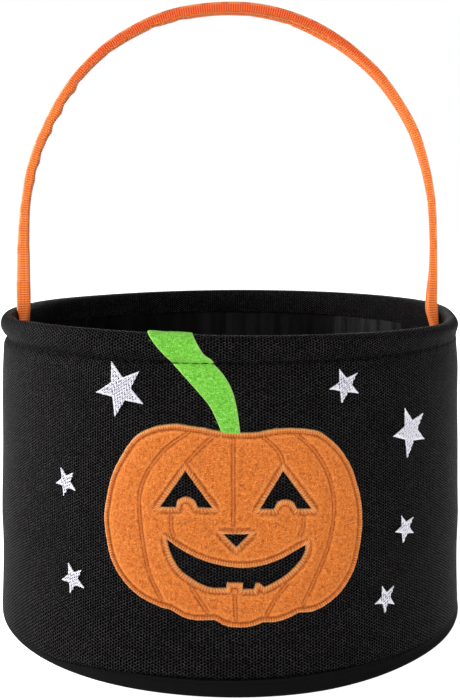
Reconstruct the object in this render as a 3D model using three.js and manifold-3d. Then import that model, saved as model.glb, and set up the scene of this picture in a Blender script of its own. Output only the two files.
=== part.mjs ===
// A round cloth candy bag with a felt pumpkin face, embroidered stars and one tall ribbon handle.
// Millimetres, +Z up, origin on the floor under the middle of the bag, pumpkin facing -Y.
import * as THREE from 'three';
import { mergeVertices } from 'three/addons/utils/BufferGeometryUtils.js';
import Module from 'manifold-3d';

const wasm = await Module();
wasm.setup();

// Driving sizes of the bag
const wallRadius = 114.5; // outside of the side cloth
const bagHeight = 146.5; // floor to the top of the rolled hem
const clothThickness = 1;
const foamThickness = 2.2;
const liningThickness = 0.6;
const boardThickness = 2;
const tapeThickness = 1;
const layerGap = 0.3; // clearance between layers that lie on each other
const ringSides = 60;

// Hem and base seam
const hemHeight = 11.5; // top of the hem to its row of stitches
const hemSwell = 0.9; // how far the hem stands out past the wall
const grooveDepth = 1.2; // how far the stitches pull the cloth in
const grooveReach = 3.5; // height over which the cloth comes back out
const facingTail = 2; // facing below the row of stitches
const rollOverhang = 15; // degrees that the roll turns past level on both sides
const bindingHeight = 6.5; // bound seam that the bag stands on
const bindingProud = 0.2; // how far the binding stands out past the wall
const seamStep = 2.2; // height over which the wall swells out above the seam
const threadSize = 0.5;

// Felt and embroidery
const feltThickness = 1;
const satinThickness = 0.6;
const satinWidth = 2.2;
const creaseWidth = 1.7;
const starThickness = 0.8;
const starTurn = 20; // degrees from upright
const starWaist = 0.4; // inner radius of a star over its outer radius
const largeStar = 12;
const mediumStar = 7.6;
const smallStar = 6.7;

// Handle
const strapWidth = 9;
const strapThickness = 4.2;
const strapCorner = 1.4;
const ribbonThickness = 1;
const archRise = 118; // top of the legs to the top of the arch, on the centre line
const legLength = 33; // hinge line to where the arch starts
const rimClearance = 0.9; // strap above the hem when it is folded down
const tabThickness = 2.6; // flattened ribbon end sewn inside the hem
const tabWidth = 13;
const tabLength = 14;
const coreInset = 3; // end of the core above the hinge line
const seamWidth = 1.2;
const tackHeight = 2.4;
const handleSteps = 45;
const knuckleSides = 16;
const starTips = 5;
const arcPieces = 6; // straight pieces of a half turn

// Radii and heights that follow from them
const foamOuter = wallRadius - clothThickness - layerGap;
const foamInner = foamOuter - foamThickness;
const liningOuter = foamInner - layerGap;
const liningInner = liningOuter - liningThickness;
const facingOuter = liningInner - layerGap;
const facingInner = facingOuter - clothThickness;
const wallMiddle = wallRadius - clothThickness / 2;
const facingMiddle = facingInner + clothThickness / 2;
const stitchRow = bagHeight - hemHeight;
const grooveMiddle = wallMiddle - grooveDepth;
const rollRadius = (wallMiddle + hemSwell - facingMiddle) / 2;
const rollHeight = bagHeight - clothThickness / 2 - rollRadius;
const panelBottom = bindingHeight + layerGap;
const boardBottom = panelBottom + clothThickness + layerGap;
const insideBottom = boardBottom + boardThickness + layerGap;
const bindingOuter = wallRadius + bindingProud;
const flangeRadius = bindingOuter - tapeThickness - layerGap - clothThickness / 2;
const panelRadius = flangeRadius - clothThickness / 2 - layerGap;
const feltInner = wallRadius + layerGap;
const feltOuter = feltInner + feltThickness;
const satinInner = feltOuter + layerGap;
const satinOuter = satinInner + satinThickness;
const hingeHeight = bagHeight + rimClearance + strapWidth / 2;
const tabTop = hingeHeight - strapWidth / 2 - layerGap;
const flatOfRing = Math.cos(Math.PI / ringSides);
const tabOuter = Math.sqrt((facingInner * flatOfRing) ** 2 - (tabWidth / 2) ** 2) - layerGap;
const legOffset = tabOuter - tabThickness / 2;

const weldDistance = 1e-4;
const far = 2 * (wallRadius + bagHeight); // longer than anything that it cuts
const curveStep = 4; // length of one straight piece of a drawn curve

const colours = {
  sideCloth: [0x1d1c1d, 0.9],
  lining: [0x131313, 0.45],
  foam: [0x3a3a3a, 0.95],
  board: [0x262626, 0.6],
  binding: [0x161616, 0.7],
  orangeFelt: [0xd97b3a, 0.95],
  orangeThread: [0xe89550, 0.5],
  greenFelt: [0x71c243, 0.95],
  whiteThread: [0xe9e7f0, 0.45],
  blackThread: [0x0d0d0d, 0.5],
  ribbon: [0xf2803c, 0.7],
  core: [0xdad7d0, 0.4],
};
const materials = Object.fromEntries(
  Object.entries(colours).map(([name, [color, roughness]]) => [
    name,
    new THREE.MeshStandardMaterial({ name, color, roughness, metalness: 0 }),
  ]),
);

function solidOf(geometry) {
  const bare = geometry.clone();
  bare.deleteAttribute('normal');
  bare.deleteAttribute('uv');
  const merged = mergeVertices(bare, weldDistance);
  return new wasm.Manifold(
    new wasm.Mesh({
      numProp: 3,
      vertProperties: merged.attributes.position.array,
      triVerts: new Uint32Array(merged.index.array),
    }),
  );
}

function geometryOf(solid) {
  const mesh = solid.getMesh();
  const geometry = new THREE.BufferGeometry();
  geometry.setAttribute('position', new THREE.BufferAttribute(mesh.vertProperties, 3));
  geometry.setIndex(new THREE.BufferAttribute(mesh.triVerts, 1));
  geometry.computeVertexNormals();
  return geometry;
}

function meshOf(name, shape, material) {
  const geometry = shape.isBufferGeometry ? shape : geometryOf(shape);
  const mesh = new THREE.Mesh(geometry, material);
  mesh.name = name;
  return mesh;
}

// A ring or disc turned round Z from a closed outline of [radius, height] points
function turned(outline) {
  const area = THREE.ShapeUtils.area(outline.map(([r, z]) => new THREE.Vector2(r, z)));
  const ordered = area > 0 ? outline : [...outline].reverse();
  const points = [...ordered, ordered[0]].map(([r, z]) => new THREE.Vector2(r, z));
  return new THREE.LatheGeometry(points, ringSides).rotateX(Math.PI / 2);
}

function ring(inner, outer, low, high) {
  return turned([[inner, low], [outer, low], [outer, high], [inner, high]]);
}

function disc(radius, thickness) {
  return turned([[0, 0], [radius, 0], [radius, thickness], [0, thickness]]);
}

// Points on an arc round a middle, from one angle in degrees to another
function arc(x, y, radius, from, to, pieces) {
  return Array.from({ length: pieces + 1 }, (_, i) => {
    const turn = THREE.MathUtils.degToRad(from + ((to - from) * i) / pieces);
    return [x + radius * Math.cos(turn), y + radius * Math.sin(turn)];
  });
}

// The points of a line moved sideways by a distance, to its right when seen from its start
function moved(line, distance) {
  return line.map(([x, y], i) => {
    const [ax, ay] = line[Math.max(i - 1, 0)];
    const [bx, by] = line[Math.min(i + 1, line.length - 1)];
    const before = Math.atan2(y - ay, x - ax);
    const after = Math.atan2(by - y, bx - x);
    const first = i === 0 ? after : before;
    const last = i === line.length - 1 ? before : after;
    const turn = Math.atan2(Math.sin(last - first), Math.cos(last - first)) / 2;
    const reach = distance / Math.cos(turn);
    const way = first + turn - Math.PI / 2;
    return [x + reach * Math.cos(way), y + reach * Math.sin(way)];
  });
}

// The section of a layer that follows a line, from one distance outside it to another
function layerOn(line, near, away) {
  return [...moved(line, near), ...moved(line, away).reverse()];
}

// Middle of the side cloth, from the base seam up the wall, over the hem and down its inside
function wallLine() {
  return [
    [flangeRadius, tapeThickness + layerGap],
    [flangeRadius, boardBottom],
    [wallMiddle, boardBottom + seamStep],
    [wallMiddle, stitchRow - grooveReach],
  ];
}

function hemLine() {
  return [
    [grooveMiddle + grooveDepth / 3, stitchRow - grooveReach / 3],
    [grooveMiddle, stitchRow],
    [grooveMiddle + grooveDepth / 2, stitchRow + grooveReach / 3],
    ...arc(facingMiddle + rollRadius, rollHeight, rollRadius, -rollOverhang, 180 + rollOverhang, arcPieces),
    [facingMiddle, rollHeight - rollRadius],
    [facingMiddle, stitchRow - facingTail],
  ];
}

function sideShell() {
  const half = clothThickness / 2;
  return turned(layerOn([...wallLine(), ...hemLine()], half, -half));
}

// The foam fills the wall and reaches up into the roll of the hem
function foamWall() {
  const inside = clothThickness / 2 + layerGap;
  const outer = [
    [wallMiddle, insideBottom],
    [wallMiddle, stitchRow - grooveReach],
    [grooveMiddle, stitchRow],
    [grooveMiddle + grooveDepth / 2, stitchRow + grooveReach / 2],
    [wallMiddle + hemSwell / 2, rollHeight],
  ].map(([r, z]) => [r - inside, z]);
  return turned([[foamInner, insideBottom], ...outer, [foamInner, rollHeight]]);
}

// Tape folded up round the lower edge of the side cloth
function binding() {
  const half = tapeThickness / 2;
  const outer = bindingOuter - half;
  const inner = 2 * flangeRadius - outer;
  const line = [
    [inner, bindingHeight],
    [inner, tapeThickness],
    [inner + half, half],
    [outer - half, half],
    [outer, tapeThickness],
    [outer, bindingHeight],
  ];
  return turned(layerOn(line, half, -half));
}

// A ring of thread that lies in the groove of a row of stitches
function threadRing(radius, height) {
  const half = threadSize / 2;
  return ring(radius - half, radius + half, height - half, height + half);
}

// Outlines on the wall are [mm right of the front middle line, mm above the floor].
function rounded(points, withEnd = false) {
  const line = new THREE.SplineCurve(points.map(([u, z]) => new THREE.Vector2(u, z)));
  const pieces = Math.ceil(line.getLength() / curveStep);
  const made = line.getSpacedPoints(pieces).map((p) => [p.x, p.y]);
  return withEnd ? made : made.slice(0, -1);
}

function outlineArea(outline) {
  return THREE.ShapeUtils.area(outline.map(([u, z]) => new THREE.Vector2(u, z)));
}

// An outline grown outwards on every side, with its sharp corners cut short
function grown(outline, distance) {
  const way = outlineArea(outline) > 0 ? 1 : -1;
  const longest = 2.2;
  const count = outline.length;
  return outline.map(([u, z], i) => {
    const [au, az] = outline[(i + count - 1) % count];
    const [bu, bz] = outline[(i + 1) % count];
    const first = Math.atan2(z - az, u - au);
    const last = Math.atan2(bz - z, bu - u);
    const turn = Math.atan2(Math.sin(last - first), Math.cos(last - first)) / 2;
    const reach = way * distance * Math.min(1 / Math.cos(turn), longest);
    const side = first + turn - Math.PI / 2;
    return [u + reach * Math.cos(side), z + reach * Math.sin(side)];
  });
}

// A straight block of an outline's shape that passes through the wall towards the viewer.
// Widths along the wall become widths across it, measured at the turn that faces the block.
function block(outline, turn = 0) {
  const flat = outline.map(([u, z]) => new THREE.Vector2(wallRadius * Math.sin(u / wallRadius), z));
  const geometry = new THREE.ExtrudeGeometry(new THREE.Shape(flat), { depth: far, bevelEnabled: false });
  return solidOf(geometry.rotateX(Math.PI / 2).rotateZ(turn));
}

const wallBand = (inner, outer) => solidOf(ring(inner, outer, bindingHeight, bagHeight));
const feltBand = wallBand(feltInner, feltOuter);
const satinBand = wallBand(satinInner, satinOuter);

// Pumpkin face
const pumpkinOutline = [
  ...rounded([[4.5, 107.4], [-3.6, 108], [-10.5, 109.2], [-22.6, 110.4], [-31.6, 108.7], [-39.6, 104.2],
    [-46, 95.5], [-50.8, 86], [-53.6, 74.3], [-54.1, 68.1], [-52.8, 59.3], [-50.5, 51.6], [-45.1, 44.1],
    [-37.7, 38.5], [-29.2, 35.3], [-24.1, 34.3]]),
  ...rounded([[-24.1, 34.3], [-19.1, 31.8], [-13.9, 30.8], [-6.2, 31.2]]),
  ...rounded([[-6.2, 31.2], [-1.9, 28.9], [3.2, 28.2], [8.3, 28.4], [13.5, 30]]),
  ...rounded([[13.5, 30], [18.7, 29.9], [23.9, 31.1], [28, 32.8]]),
  ...rounded([[28, 32.8], [34.8, 32.9], [41.4, 35.4], [47.6, 39.7], [52.9, 46.9], [55.5, 54.7], [57.2, 64.8],
    [56.9, 74.6], [54.8, 82.8], [51.7, 91], [45.9, 99.4], [38.5, 105.7], [33, 107.7], [24.8, 108.7],
    [10.9, 107.5], [4.5, 107.4]]),
];
const pupilRadius = 4.2;

// A three-cornered eye whose pupil stands on the lower edge, at a share of the edge's length
function eye(top, left, right, share) {
  const u = left[0] + share * (right[0] - left[0]);
  const z = left[1] + share * (right[1] - left[1]);
  return [top, left, ...arc(u, z, pupilRadius, 180, 0, arcPieces), right];
}

const leftEye = eye([-18.1, 91.6], [-28.9, 76.3], [-6.9, 76.7], 0.51);
const rightEye = eye([21.6, 91.4], [12, 76.2], [33.9, 75], 0.48);
const nose = [[-2.8, 66.3], [7.9, 66.2], [2.5, 60.8]];
const mouth = [
  ...rounded([[-26.2, 63.8], [-18.3, 58.6], [-8.8, 54.8], [2.3, 52.7], [11.7, 53.1], [20.4, 55.5], [31.4, 61]]),
  ...rounded([[31.4, 61], [28.4, 53.6], [23.1, 48.9], [14, 44.3]]),
  [11.8, 46.2], [10.4, 46.3], [9.6, 43.6], [5.1, 43.7], [5.1, 46.3], [-1.2, 46.5], [-1.4, 44],
  ...rounded([[-1.4, 44], [-8.8, 44.6], [-15.6, 47.7], [-22, 53], [-26.2, 63.8]]).slice(1),
];
const features = { left_eye: leftEye, right_eye: rightEye, nose, mouth };

// Creases: lines of satin stitch that divide the pumpkin into lobes
const creases = {
  middle_crease: [[1.3, 108], [1.3, 66]],
  left_inner_crease: [[-4, 108], [-10.5, 102.5], [-14.8, 98.1], [-18.1, 93]],
  left_outer_crease: [[-14, 109], [-26.2, 100.2], [-34.2, 89.5], [-37.6, 75.5], [-36.2, 61.5], [-26.5, 34]],
  right_inner_crease: [[11, 108], [17.8, 101.4], [20.4, 97.9], [21.8, 93]],
  right_outer_crease: [[24.5, 108.5], [34.8, 98.8], [41.6, 87], [43.7, 73], [40.5, 57.6], [28.5, 32.5]],
  chin_left_crease: [[-16.5, 47], [-12.2, 38.9], [-7.6, 32]],
  chin_middle_crease: [[1.9, 47], [2.3, 28]],
  chin_right_crease: [[24, 47.5], [18.7, 39.8], [13.5, 30.5]],
  left_cheek_crease: [[-24, 75], [-24, 67.7], [-22, 61]],
  right_cheek_crease: [[30.2, 75], [29.8, 67.3], [27.2, 61]],
};

function strip(line, width) {
  const spread = rounded(line, true);
  return [...moved(spread, width / 2), ...moved(spread, -width / 2).reverse()];
}

function pumpkinFelt() {
  let felt = feltBand.intersect(block(grown(pumpkinOutline, -satinWidth / 3)));
  for (const feature of Object.values(features)) {
    felt = felt.subtract(block(feature));
  }
  return felt;
}

function pumpkinBorder() {
  return satinBand.intersect(block(pumpkinOutline)).subtract(block(grown(pumpkinOutline, -satinWidth)));
}

function featureBorder(feature) {
  return satinBand.intersect(block(grown(feature, satinWidth))).subtract(block(feature));
}

// A crease stops short of the border and of each feature's border.
function crease(line) {
  const clear = satinWidth + layerGap;
  let made = satinBand.intersect(block(strip(line, creaseWidth)));
  made = made.intersect(block(grown(pumpkinOutline, -clear)));
  for (const feature of Object.values(features)) {
    made = made.subtract(block(grown(feature, clear)));
  }
  return made;
}

// Stem: the strip of felt rises from the pumpkin, crosses the hem and turns over its top.
// Each side is [mm right of the middle line, share of the way from the pumpkin to the top of the hem].
const stemLeft = [
  [-35.3, 1], [-31.3, 0.88], [-24.3, 0.7], [-16, 0.49], [-8.5, 0.29], [-6.2, 0.19], [-3.9, 0.05], [-3.9, 0],
];
const stemRight = [[4.1, 0], [4.1, 0.04], [2.9, 0.25], [-0.7, 0.52], [-4.1, 0.63], [-10.3, 0.77], [-15.7, 1]];
const stemFoot = 105.9;

function stemOutline(margin = 0) {
  const top = bagHeight + feltThickness + layerGap;
  const place = ([u, share]) => [u, stemFoot + share * (top - stemFoot)];
  const left = rounded(stemLeft.map(place), true);
  const right = rounded(stemRight.map(place), true);
  const above = top + feltThickness;
  const outline = [[left[0][0], above], ...left, ...right, [right.at(-1)[0], above]];
  return margin ? grown(outline, margin) : outline;
}

// The part of the cloth's middle line that carries the stem
function stemLine() {
  const overHem = 6; // points of the hem's line up to the outer side of its roll
  const foot = [wallMiddle, stemFoot - satinWidth];
  return [foot, wallLine().at(-1), ...hemLine().slice(0, overHem)];
}

function stemFelt() {
  const near = clothThickness / 2 + layerGap;
  const band = solidOf(turned(layerOn(stemLine(), near, near + feltThickness)));
  return band.intersect(block(stemOutline())).subtract(block(grown(pumpkinOutline, layerGap)));
}

function hemStitch() {
  const radius = wallRadius - grooveDepth + layerGap + threadSize / 2;
  return solidOf(threadRing(radius, stitchRow)).subtract(block(stemOutline(layerGap)));
}

function stemStitch() {
  const radius = wallRadius - grooveDepth + feltThickness + 3 * layerGap + threadSize / 2;
  return solidOf(threadRing(radius, stitchRow)).intersect(block(stemOutline()));
}

// Stars: [name, mm right of the middle line, height above the floor, tip radius]
const stars = [
  ['upper_left_star', -46.6, stitchRow - 11.8, largeStar],
  ['upper_right_star', 49, stitchRow - 10.4, mediumStar],
  ['right_large_star', 85.6, stitchRow - 33.9, largeStar],
  ['left_middle_star', -75, bindingHeight + 74.4, smallStar],
  ['right_middle_star', 82, bindingHeight + 53.1, smallStar],
  ['left_lower_star', -70.9, bindingHeight + 33.7, smallStar],
  ['right_lower_star', 70.3, bindingHeight + 25.4, smallStar],
];

function star(along, height, radius) {
  const band = wallBand(feltInner, feltInner + starThickness);
  const points = Array.from({ length: 2 * starTips }, (_, i) => {
    const reach = i % 2 ? radius * starWaist : radius;
    const turn = Math.PI / 2 + THREE.MathUtils.degToRad(starTurn) + (Math.PI * i) / starTips;
    return [reach * Math.cos(turn), height + reach * Math.sin(turn)];
  });
  return band.intersect(block(points, along / wallRadius));
}

// Centre line of the strap in the handle's own frame: the hinge line is at height 0.
class HandleLine extends THREE.Curve {
  getPoint(t, target = new THREE.Vector3()) {
    const archHalf = (Math.PI / 2) * Math.sqrt((legOffset ** 2 + archRise ** 2) / 2);
    const along = (t - 0.5) * 2 * (archHalf + legLength);
    const side = Math.sign(along);
    const turn = (Math.PI / 2) * (1 - Math.min(Math.abs(along) / archHalf, 1));
    const drop = Math.max(Math.abs(along) - archHalf, 0);
    const x = side * legOffset * Math.cos(turn);
    return target.set(x, 0, legLength + archRise * Math.sin(turn) - drop);
  }
}

function swept(shape) {
  const settings = { steps: handleSteps, extrudePath: new HandleLine(), bevelEnabled: false };
  return solidOf(new THREE.ExtrudeGeometry(shape, settings));
}

// A rectangle in the strap's section: x runs across the strap and y towards the inside of the arch.
function section(width, thickness, corner = 0, inward = 0) {
  const x = width / 2;
  const y = thickness / 2;
  const c = corner;
  const points = c
    ? [[x, -y + c], [x, y - c], [x - c, y], [-x + c, y], [-x, y - c], [-x, -y + c], [-x + c, -y], [x - c, -y]]
    : [[x, -y], [x, y], [-x, y], [-x, -y]];
  return new THREE.Shape(points.map(([a, b]) => new THREE.Vector2(a, b + inward)));
}

const boreWidth = strapWidth - 2 * ribbonThickness;
const boreThickness = strapThickness - 2 * ribbonThickness;

function boxAt(width, depth, height, x, y, z) {
  return solidOf(new THREE.BoxGeometry(width, depth, height).translate(x, y, z));
}

// The ribbon is sewn into a flat tube, and each end is rounded about the hinge line.
function handleSleeve() {
  let sleeve = swept(section(strapWidth, strapThickness, strapCorner));
  for (const side of [-1, 1]) {
    const end = new THREE.CylinderGeometry(strapWidth / 2, strapWidth / 2, strapThickness, knuckleSides);
    sleeve = sleeve.add(solidOf(end.rotateZ(Math.PI / 2).translate(side * legOffset, 0, 0)));
  }
  let bore = swept(section(boreWidth, boreThickness));
  const openHeight = strapWidth + layerGap;
  for (const side of [-1, 1]) {
    bore = bore.add(boxAt(boreThickness, boreWidth, openHeight, side * legOffset, 0, -strapWidth / 2));
  }
  return sleeve.subtract(bore);
}

function handleCore() {
  const core = swept(section(boreWidth - 2 * layerGap, boreThickness - 2 * layerGap));
  return core.subtract(boxAt(far, far, far, 0, 0, coreInset - far / 2));
}

// The ribbon's closing seam, on the inside of the arch
function handleSeam() {
  const inward = (strapThickness + threadSize) / 2 + layerGap;
  const seam = swept(section(seamWidth, threadSize, 0, inward));
  return seam.subtract(boxAt(far, far, far, 0, 0, strapWidth / 2 - far / 2));
}

function handleTab() {
  return new THREE.BoxGeometry(tabThickness, tabWidth, tabLength);
}

function tack() {
  return new THREE.BoxGeometry(threadSize, tabWidth - 2 * ribbonThickness, tackHeight);
}

// Assembly
const body = new THREE.Group();
body.add(meshOf('side_shell', sideShell(), materials.sideCloth));
body.add(meshOf('wall_foam', foamWall(), materials.foam));
body.add(meshOf('base_binding', binding(), materials.binding));
body.add(meshOf('hem_stitch', hemStitch(), materials.blackThread));

const liningSide = ring(liningInner, liningOuter, insideBottom, stitchRow);
body.add(meshOf('side_lining', liningSide, materials.lining));

const basePanel = meshOf('base_panel', disc(panelRadius, clothThickness), materials.sideCloth);
basePanel.position.z = panelBottom;
const baseBoard = meshOf('base_board', disc(panelRadius, boardThickness), materials.board);
baseBoard.position.z = boardBottom;
const floorLining = meshOf('floor_lining', disc(liningInner - layerGap, liningThickness), materials.lining);
floorLining.position.z = insideBottom;
body.add(basePanel, baseBoard, floorLining);

body.add(meshOf('pumpkin_felt', pumpkinFelt(), materials.orangeFelt));
body.add(meshOf('pumpkin_border', pumpkinBorder(), materials.orangeThread));
for (const [name, feature] of Object.entries(features)) {
  body.add(meshOf(`${name}_border`, featureBorder(feature), materials.orangeThread));
}
for (const [name, line] of Object.entries(creases)) {
  body.add(meshOf(name, crease(line), materials.orangeThread));
}
body.add(meshOf('stem_felt', stemFelt(), materials.greenFelt));
body.add(meshOf('stem_stitch', stemStitch(), materials.blackThread));
for (const [name, along, height, radius] of stars) {
  body.add(meshOf(name, star(along, height, radius), materials.whiteThread));
}

for (const [name, side] of [['left', -1], ['right', 1]]) {
  const tab = meshOf(`${name}_handle_tab`, handleTab(), materials.ribbon);
  tab.position.set(side * legOffset, 0, tabTop - tabLength / 2);
  const stitches = meshOf(`${name}_bar_tack`, tack(), materials.blackThread);
  const inward = tabThickness / 2 + layerGap + threadSize / 2;
  stitches.position.set(side * (legOffset - inward), 0, stitchRow);
  body.add(tab, stitches);
}

const handle = new THREE.Group();
handle.position.z = hingeHeight;
handle.add(meshOf('handle_sleeve', handleSleeve(), materials.ribbon));
handle.add(meshOf('handle_core', handleCore(), materials.core));
handle.add(meshOf('handle_seam', handleSeam(), materials.ribbon));

const bag = new THREE.Group();
bag.add(body, handle);

export default bag;
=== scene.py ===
import math

import bpy
import numpy as np
from mathutils.geometry import delaunay_2d_cdt
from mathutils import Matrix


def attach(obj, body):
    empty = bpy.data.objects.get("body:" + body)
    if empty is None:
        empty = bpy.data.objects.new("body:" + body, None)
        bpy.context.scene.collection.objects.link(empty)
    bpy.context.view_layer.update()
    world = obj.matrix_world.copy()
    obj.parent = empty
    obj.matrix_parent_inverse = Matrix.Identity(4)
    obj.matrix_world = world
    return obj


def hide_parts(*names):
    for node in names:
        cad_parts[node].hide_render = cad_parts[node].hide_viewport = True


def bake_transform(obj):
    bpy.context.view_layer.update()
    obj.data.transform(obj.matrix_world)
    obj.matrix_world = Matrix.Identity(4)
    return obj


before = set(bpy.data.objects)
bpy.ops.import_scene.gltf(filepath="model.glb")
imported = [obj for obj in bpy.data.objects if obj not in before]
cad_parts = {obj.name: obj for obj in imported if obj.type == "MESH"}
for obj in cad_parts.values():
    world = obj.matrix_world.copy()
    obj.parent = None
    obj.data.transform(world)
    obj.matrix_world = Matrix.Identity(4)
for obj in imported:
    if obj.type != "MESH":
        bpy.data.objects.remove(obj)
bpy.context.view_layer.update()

# A round cloth candy bag with a felt pumpkin face, embroidered stars and a tall ribbon handle.
# Lengths are in millimetres until a mesh is made. An angle round the bag starts at its front and
# grows to the right, and a place on the wall is (millimetres right of the middle line, height).

draw = np.random.default_rng(31)
MM = 0.001

# Sizes that follow the solids
WALL = 114.5  # outside radius of the side cloth
CLOTH = 1.0  # thickness of the side cloth
STITCH_ROW = 135.0  # height of the stitches under the hem
HINGE = 151.9  # height of the handle's hinge
LEG = 106.86  # from the bag's axis to the ends of the ribbon
TAPE_OUT = 114.7  # outside radius of the tape round the foot
TAPE_THICK = 0.95
SEAM_MIDDLE = 112.9  # radius half way through the seam that the tape binds
SATIN_WIDTH = 2.2  # width of the stitched border of the felt
CREASE_HALF = 0.62  # half the width of a stitched crease
LINING_IN = 110.1  # inside radius of the lining
INSIDE_FLOOR = 10.4  # height of the floor inside
BEND_TOP = 158.0

# The photograph's view
VIEW_BACK = 519.0  # from the bag's axis to the camera
VIEW_HEIGHT = 198.2
FOCAL = 996.0 / 700.0  # focal length over the long side of the picture
SENSOR = 36.0
HORIZON_SHARE = (350 - 208.4) / 700  # how far the level line is above the middle of the picture


# Lines and meshes

def place(angle, radius, height):
    """Points at angles, radii and heights that broadcast together."""
    angle, radius, height = np.broadcast_arrays(angle, radius, height)
    return np.stack([radius * np.sin(angle), -radius * np.cos(angle), height], axis=-1)


def piece(name, points, faces, slot, nodes=(), bodies=("bag",), uv=None, values=None, material=None):
    """A mesh object from points in millimetres, which rides on its body, or is left unparented in place
    when it has two.
    """
    mesh = bpy.data.meshes.new(name)
    points = np.asarray(points, float).reshape(-1, 3)
    mesh.from_pydata((points * MM).tolist(), [], faces if isinstance(faces, list) else faces.tolist())
    if uv is not None:
        layer = mesh.uv_layers.new(name=uv[0])
        layer.data.foreach_set("uv", np.asarray(uv[1], np.float32).ravel())
    for key, numbers in (values or {}).items():
        attribute = mesh.attributes.new(key, "FLOAT", "POINT")
        attribute.data.foreach_set("value", np.asarray(numbers, np.float32).ravel())
    mesh.shade_smooth()
    mesh.materials.append(material or PAINTS[slot])
    made = bpy.data.objects.new(name, mesh)
    bpy.context.scene.collection.objects.link(made)
    if len(bodies) == 2:
        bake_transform(made)
    else:
        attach(made, bodies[0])
    if nodes:
        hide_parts(*nodes)
    return made


def net(points, wrap_rows, wrap_columns, along=None, across=None):
    """Faces of a grid of points, and each corner's place on a map that along and across give."""
    rows, columns = points.shape[:2]
    r, c = np.meshgrid(
        np.arange(rows if wrap_rows else rows - 1),
        np.arange(columns if wrap_columns else columns - 1),
        indexing="ij",
    )
    corner_rows = np.stack([r, r, r + 1, r + 1], axis=-1).reshape(-1, 4)
    corner_columns = np.stack([c, c + 1, c + 1, c], axis=-1).reshape(-1, 4)
    faces = (corner_rows % rows) * columns + corner_columns % columns
    if along is None:
        return faces, None
    return faces, np.stack([along[corner_columns], across[corner_rows]], axis=-1).reshape(-1, 2)


def spline(points, step):
    """Points at equal steps on a smooth line through the given ones."""
    points = np.asarray(points, float)
    if len(points) > 2:
        ends = [2 * points[:1] - points[1:2], points, 2 * points[-1:] - points[-2:-1]]
        p = np.concatenate(ends)
        t = np.linspace(0, 1, 24, endpoint=False)[:, None]
        fine = [
            0.5 * (2 * b + (c - a) * t + (2 * a - 5 * b + 4 * c - d) * t**2
                   + (3 * b - a - 3 * c + d) * t**3)
            for a, b, c, d in zip(p[:-3], p[1:-2], p[2:-1], p[3:])
        ]
        points = np.concatenate(fine + [points[-1:]])
    length = along_of(points)
    count = max(int(round(length[-1] / step)), 1) + 1
    wanted = np.linspace(0, length[-1], count)
    return np.stack([np.interp(wanted, length, column) for column in points.T], axis=-1)


def unit(vectors):
    """The same directions with a length of 1."""
    return vectors / np.maximum(np.linalg.norm(vectors, axis=-1, keepdims=True), 1e-9)


def bell(value, middle, width):
    """1 at the middle, which falls to 0 on both sides of it."""
    return np.exp(-(((value - middle) / width) ** 2))


def rising(value, start, span):
    """0 up to the start and 1 from start + span on. A negative span falls with the value."""
    return np.clip((value - start) / span, 0, 1)


def along_of(line):
    """The length along a line up to each of its points."""
    return np.concatenate([[0], np.cumsum(np.linalg.norm(np.diff(line, axis=0), axis=1))])


def read_table(table, angle):
    """Values of a table of (angle, value) rows, on a smooth line through them."""
    turns, values = spline(table, 0.05).T
    return np.interp(angle, turns, values)


def offset(line, distance):
    """A line of the plane moved to its left."""
    way = unit(np.gradient(line, axis=0))
    return line + distance * np.stack([-way[:, 1], way[:, 0]], axis=-1)


def wobble(angle, height, size, seed):
    """Slow waves round the bag and up it, the same on every run."""
    phases = np.random.default_rng(seed).uniform(0, 2 * math.pi, 6)
    turns = (2, 3, 5, 8, 11, 17)
    rises = (61, 47, 83, 39, 52, 33)
    shares = (0.3, 0.24, 0.18, 0.12, 0.09, 0.07)
    return size * sum(
        share * np.sin(turn * angle + height * 2 * math.pi / rise + phase)
        for turn, rise, share, phase in zip(turns, rises, shares, phases)
    )


# Materials

def tint(red, green, blue):
    """A colour as it is read off a picture, for a shader."""
    parts = np.array([red, green, blue]) / 255
    return (*np.where(parts > 0.04045, ((parts + 0.055) / 1.055) ** 2.4, parts / 12.92), 1.0)


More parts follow.
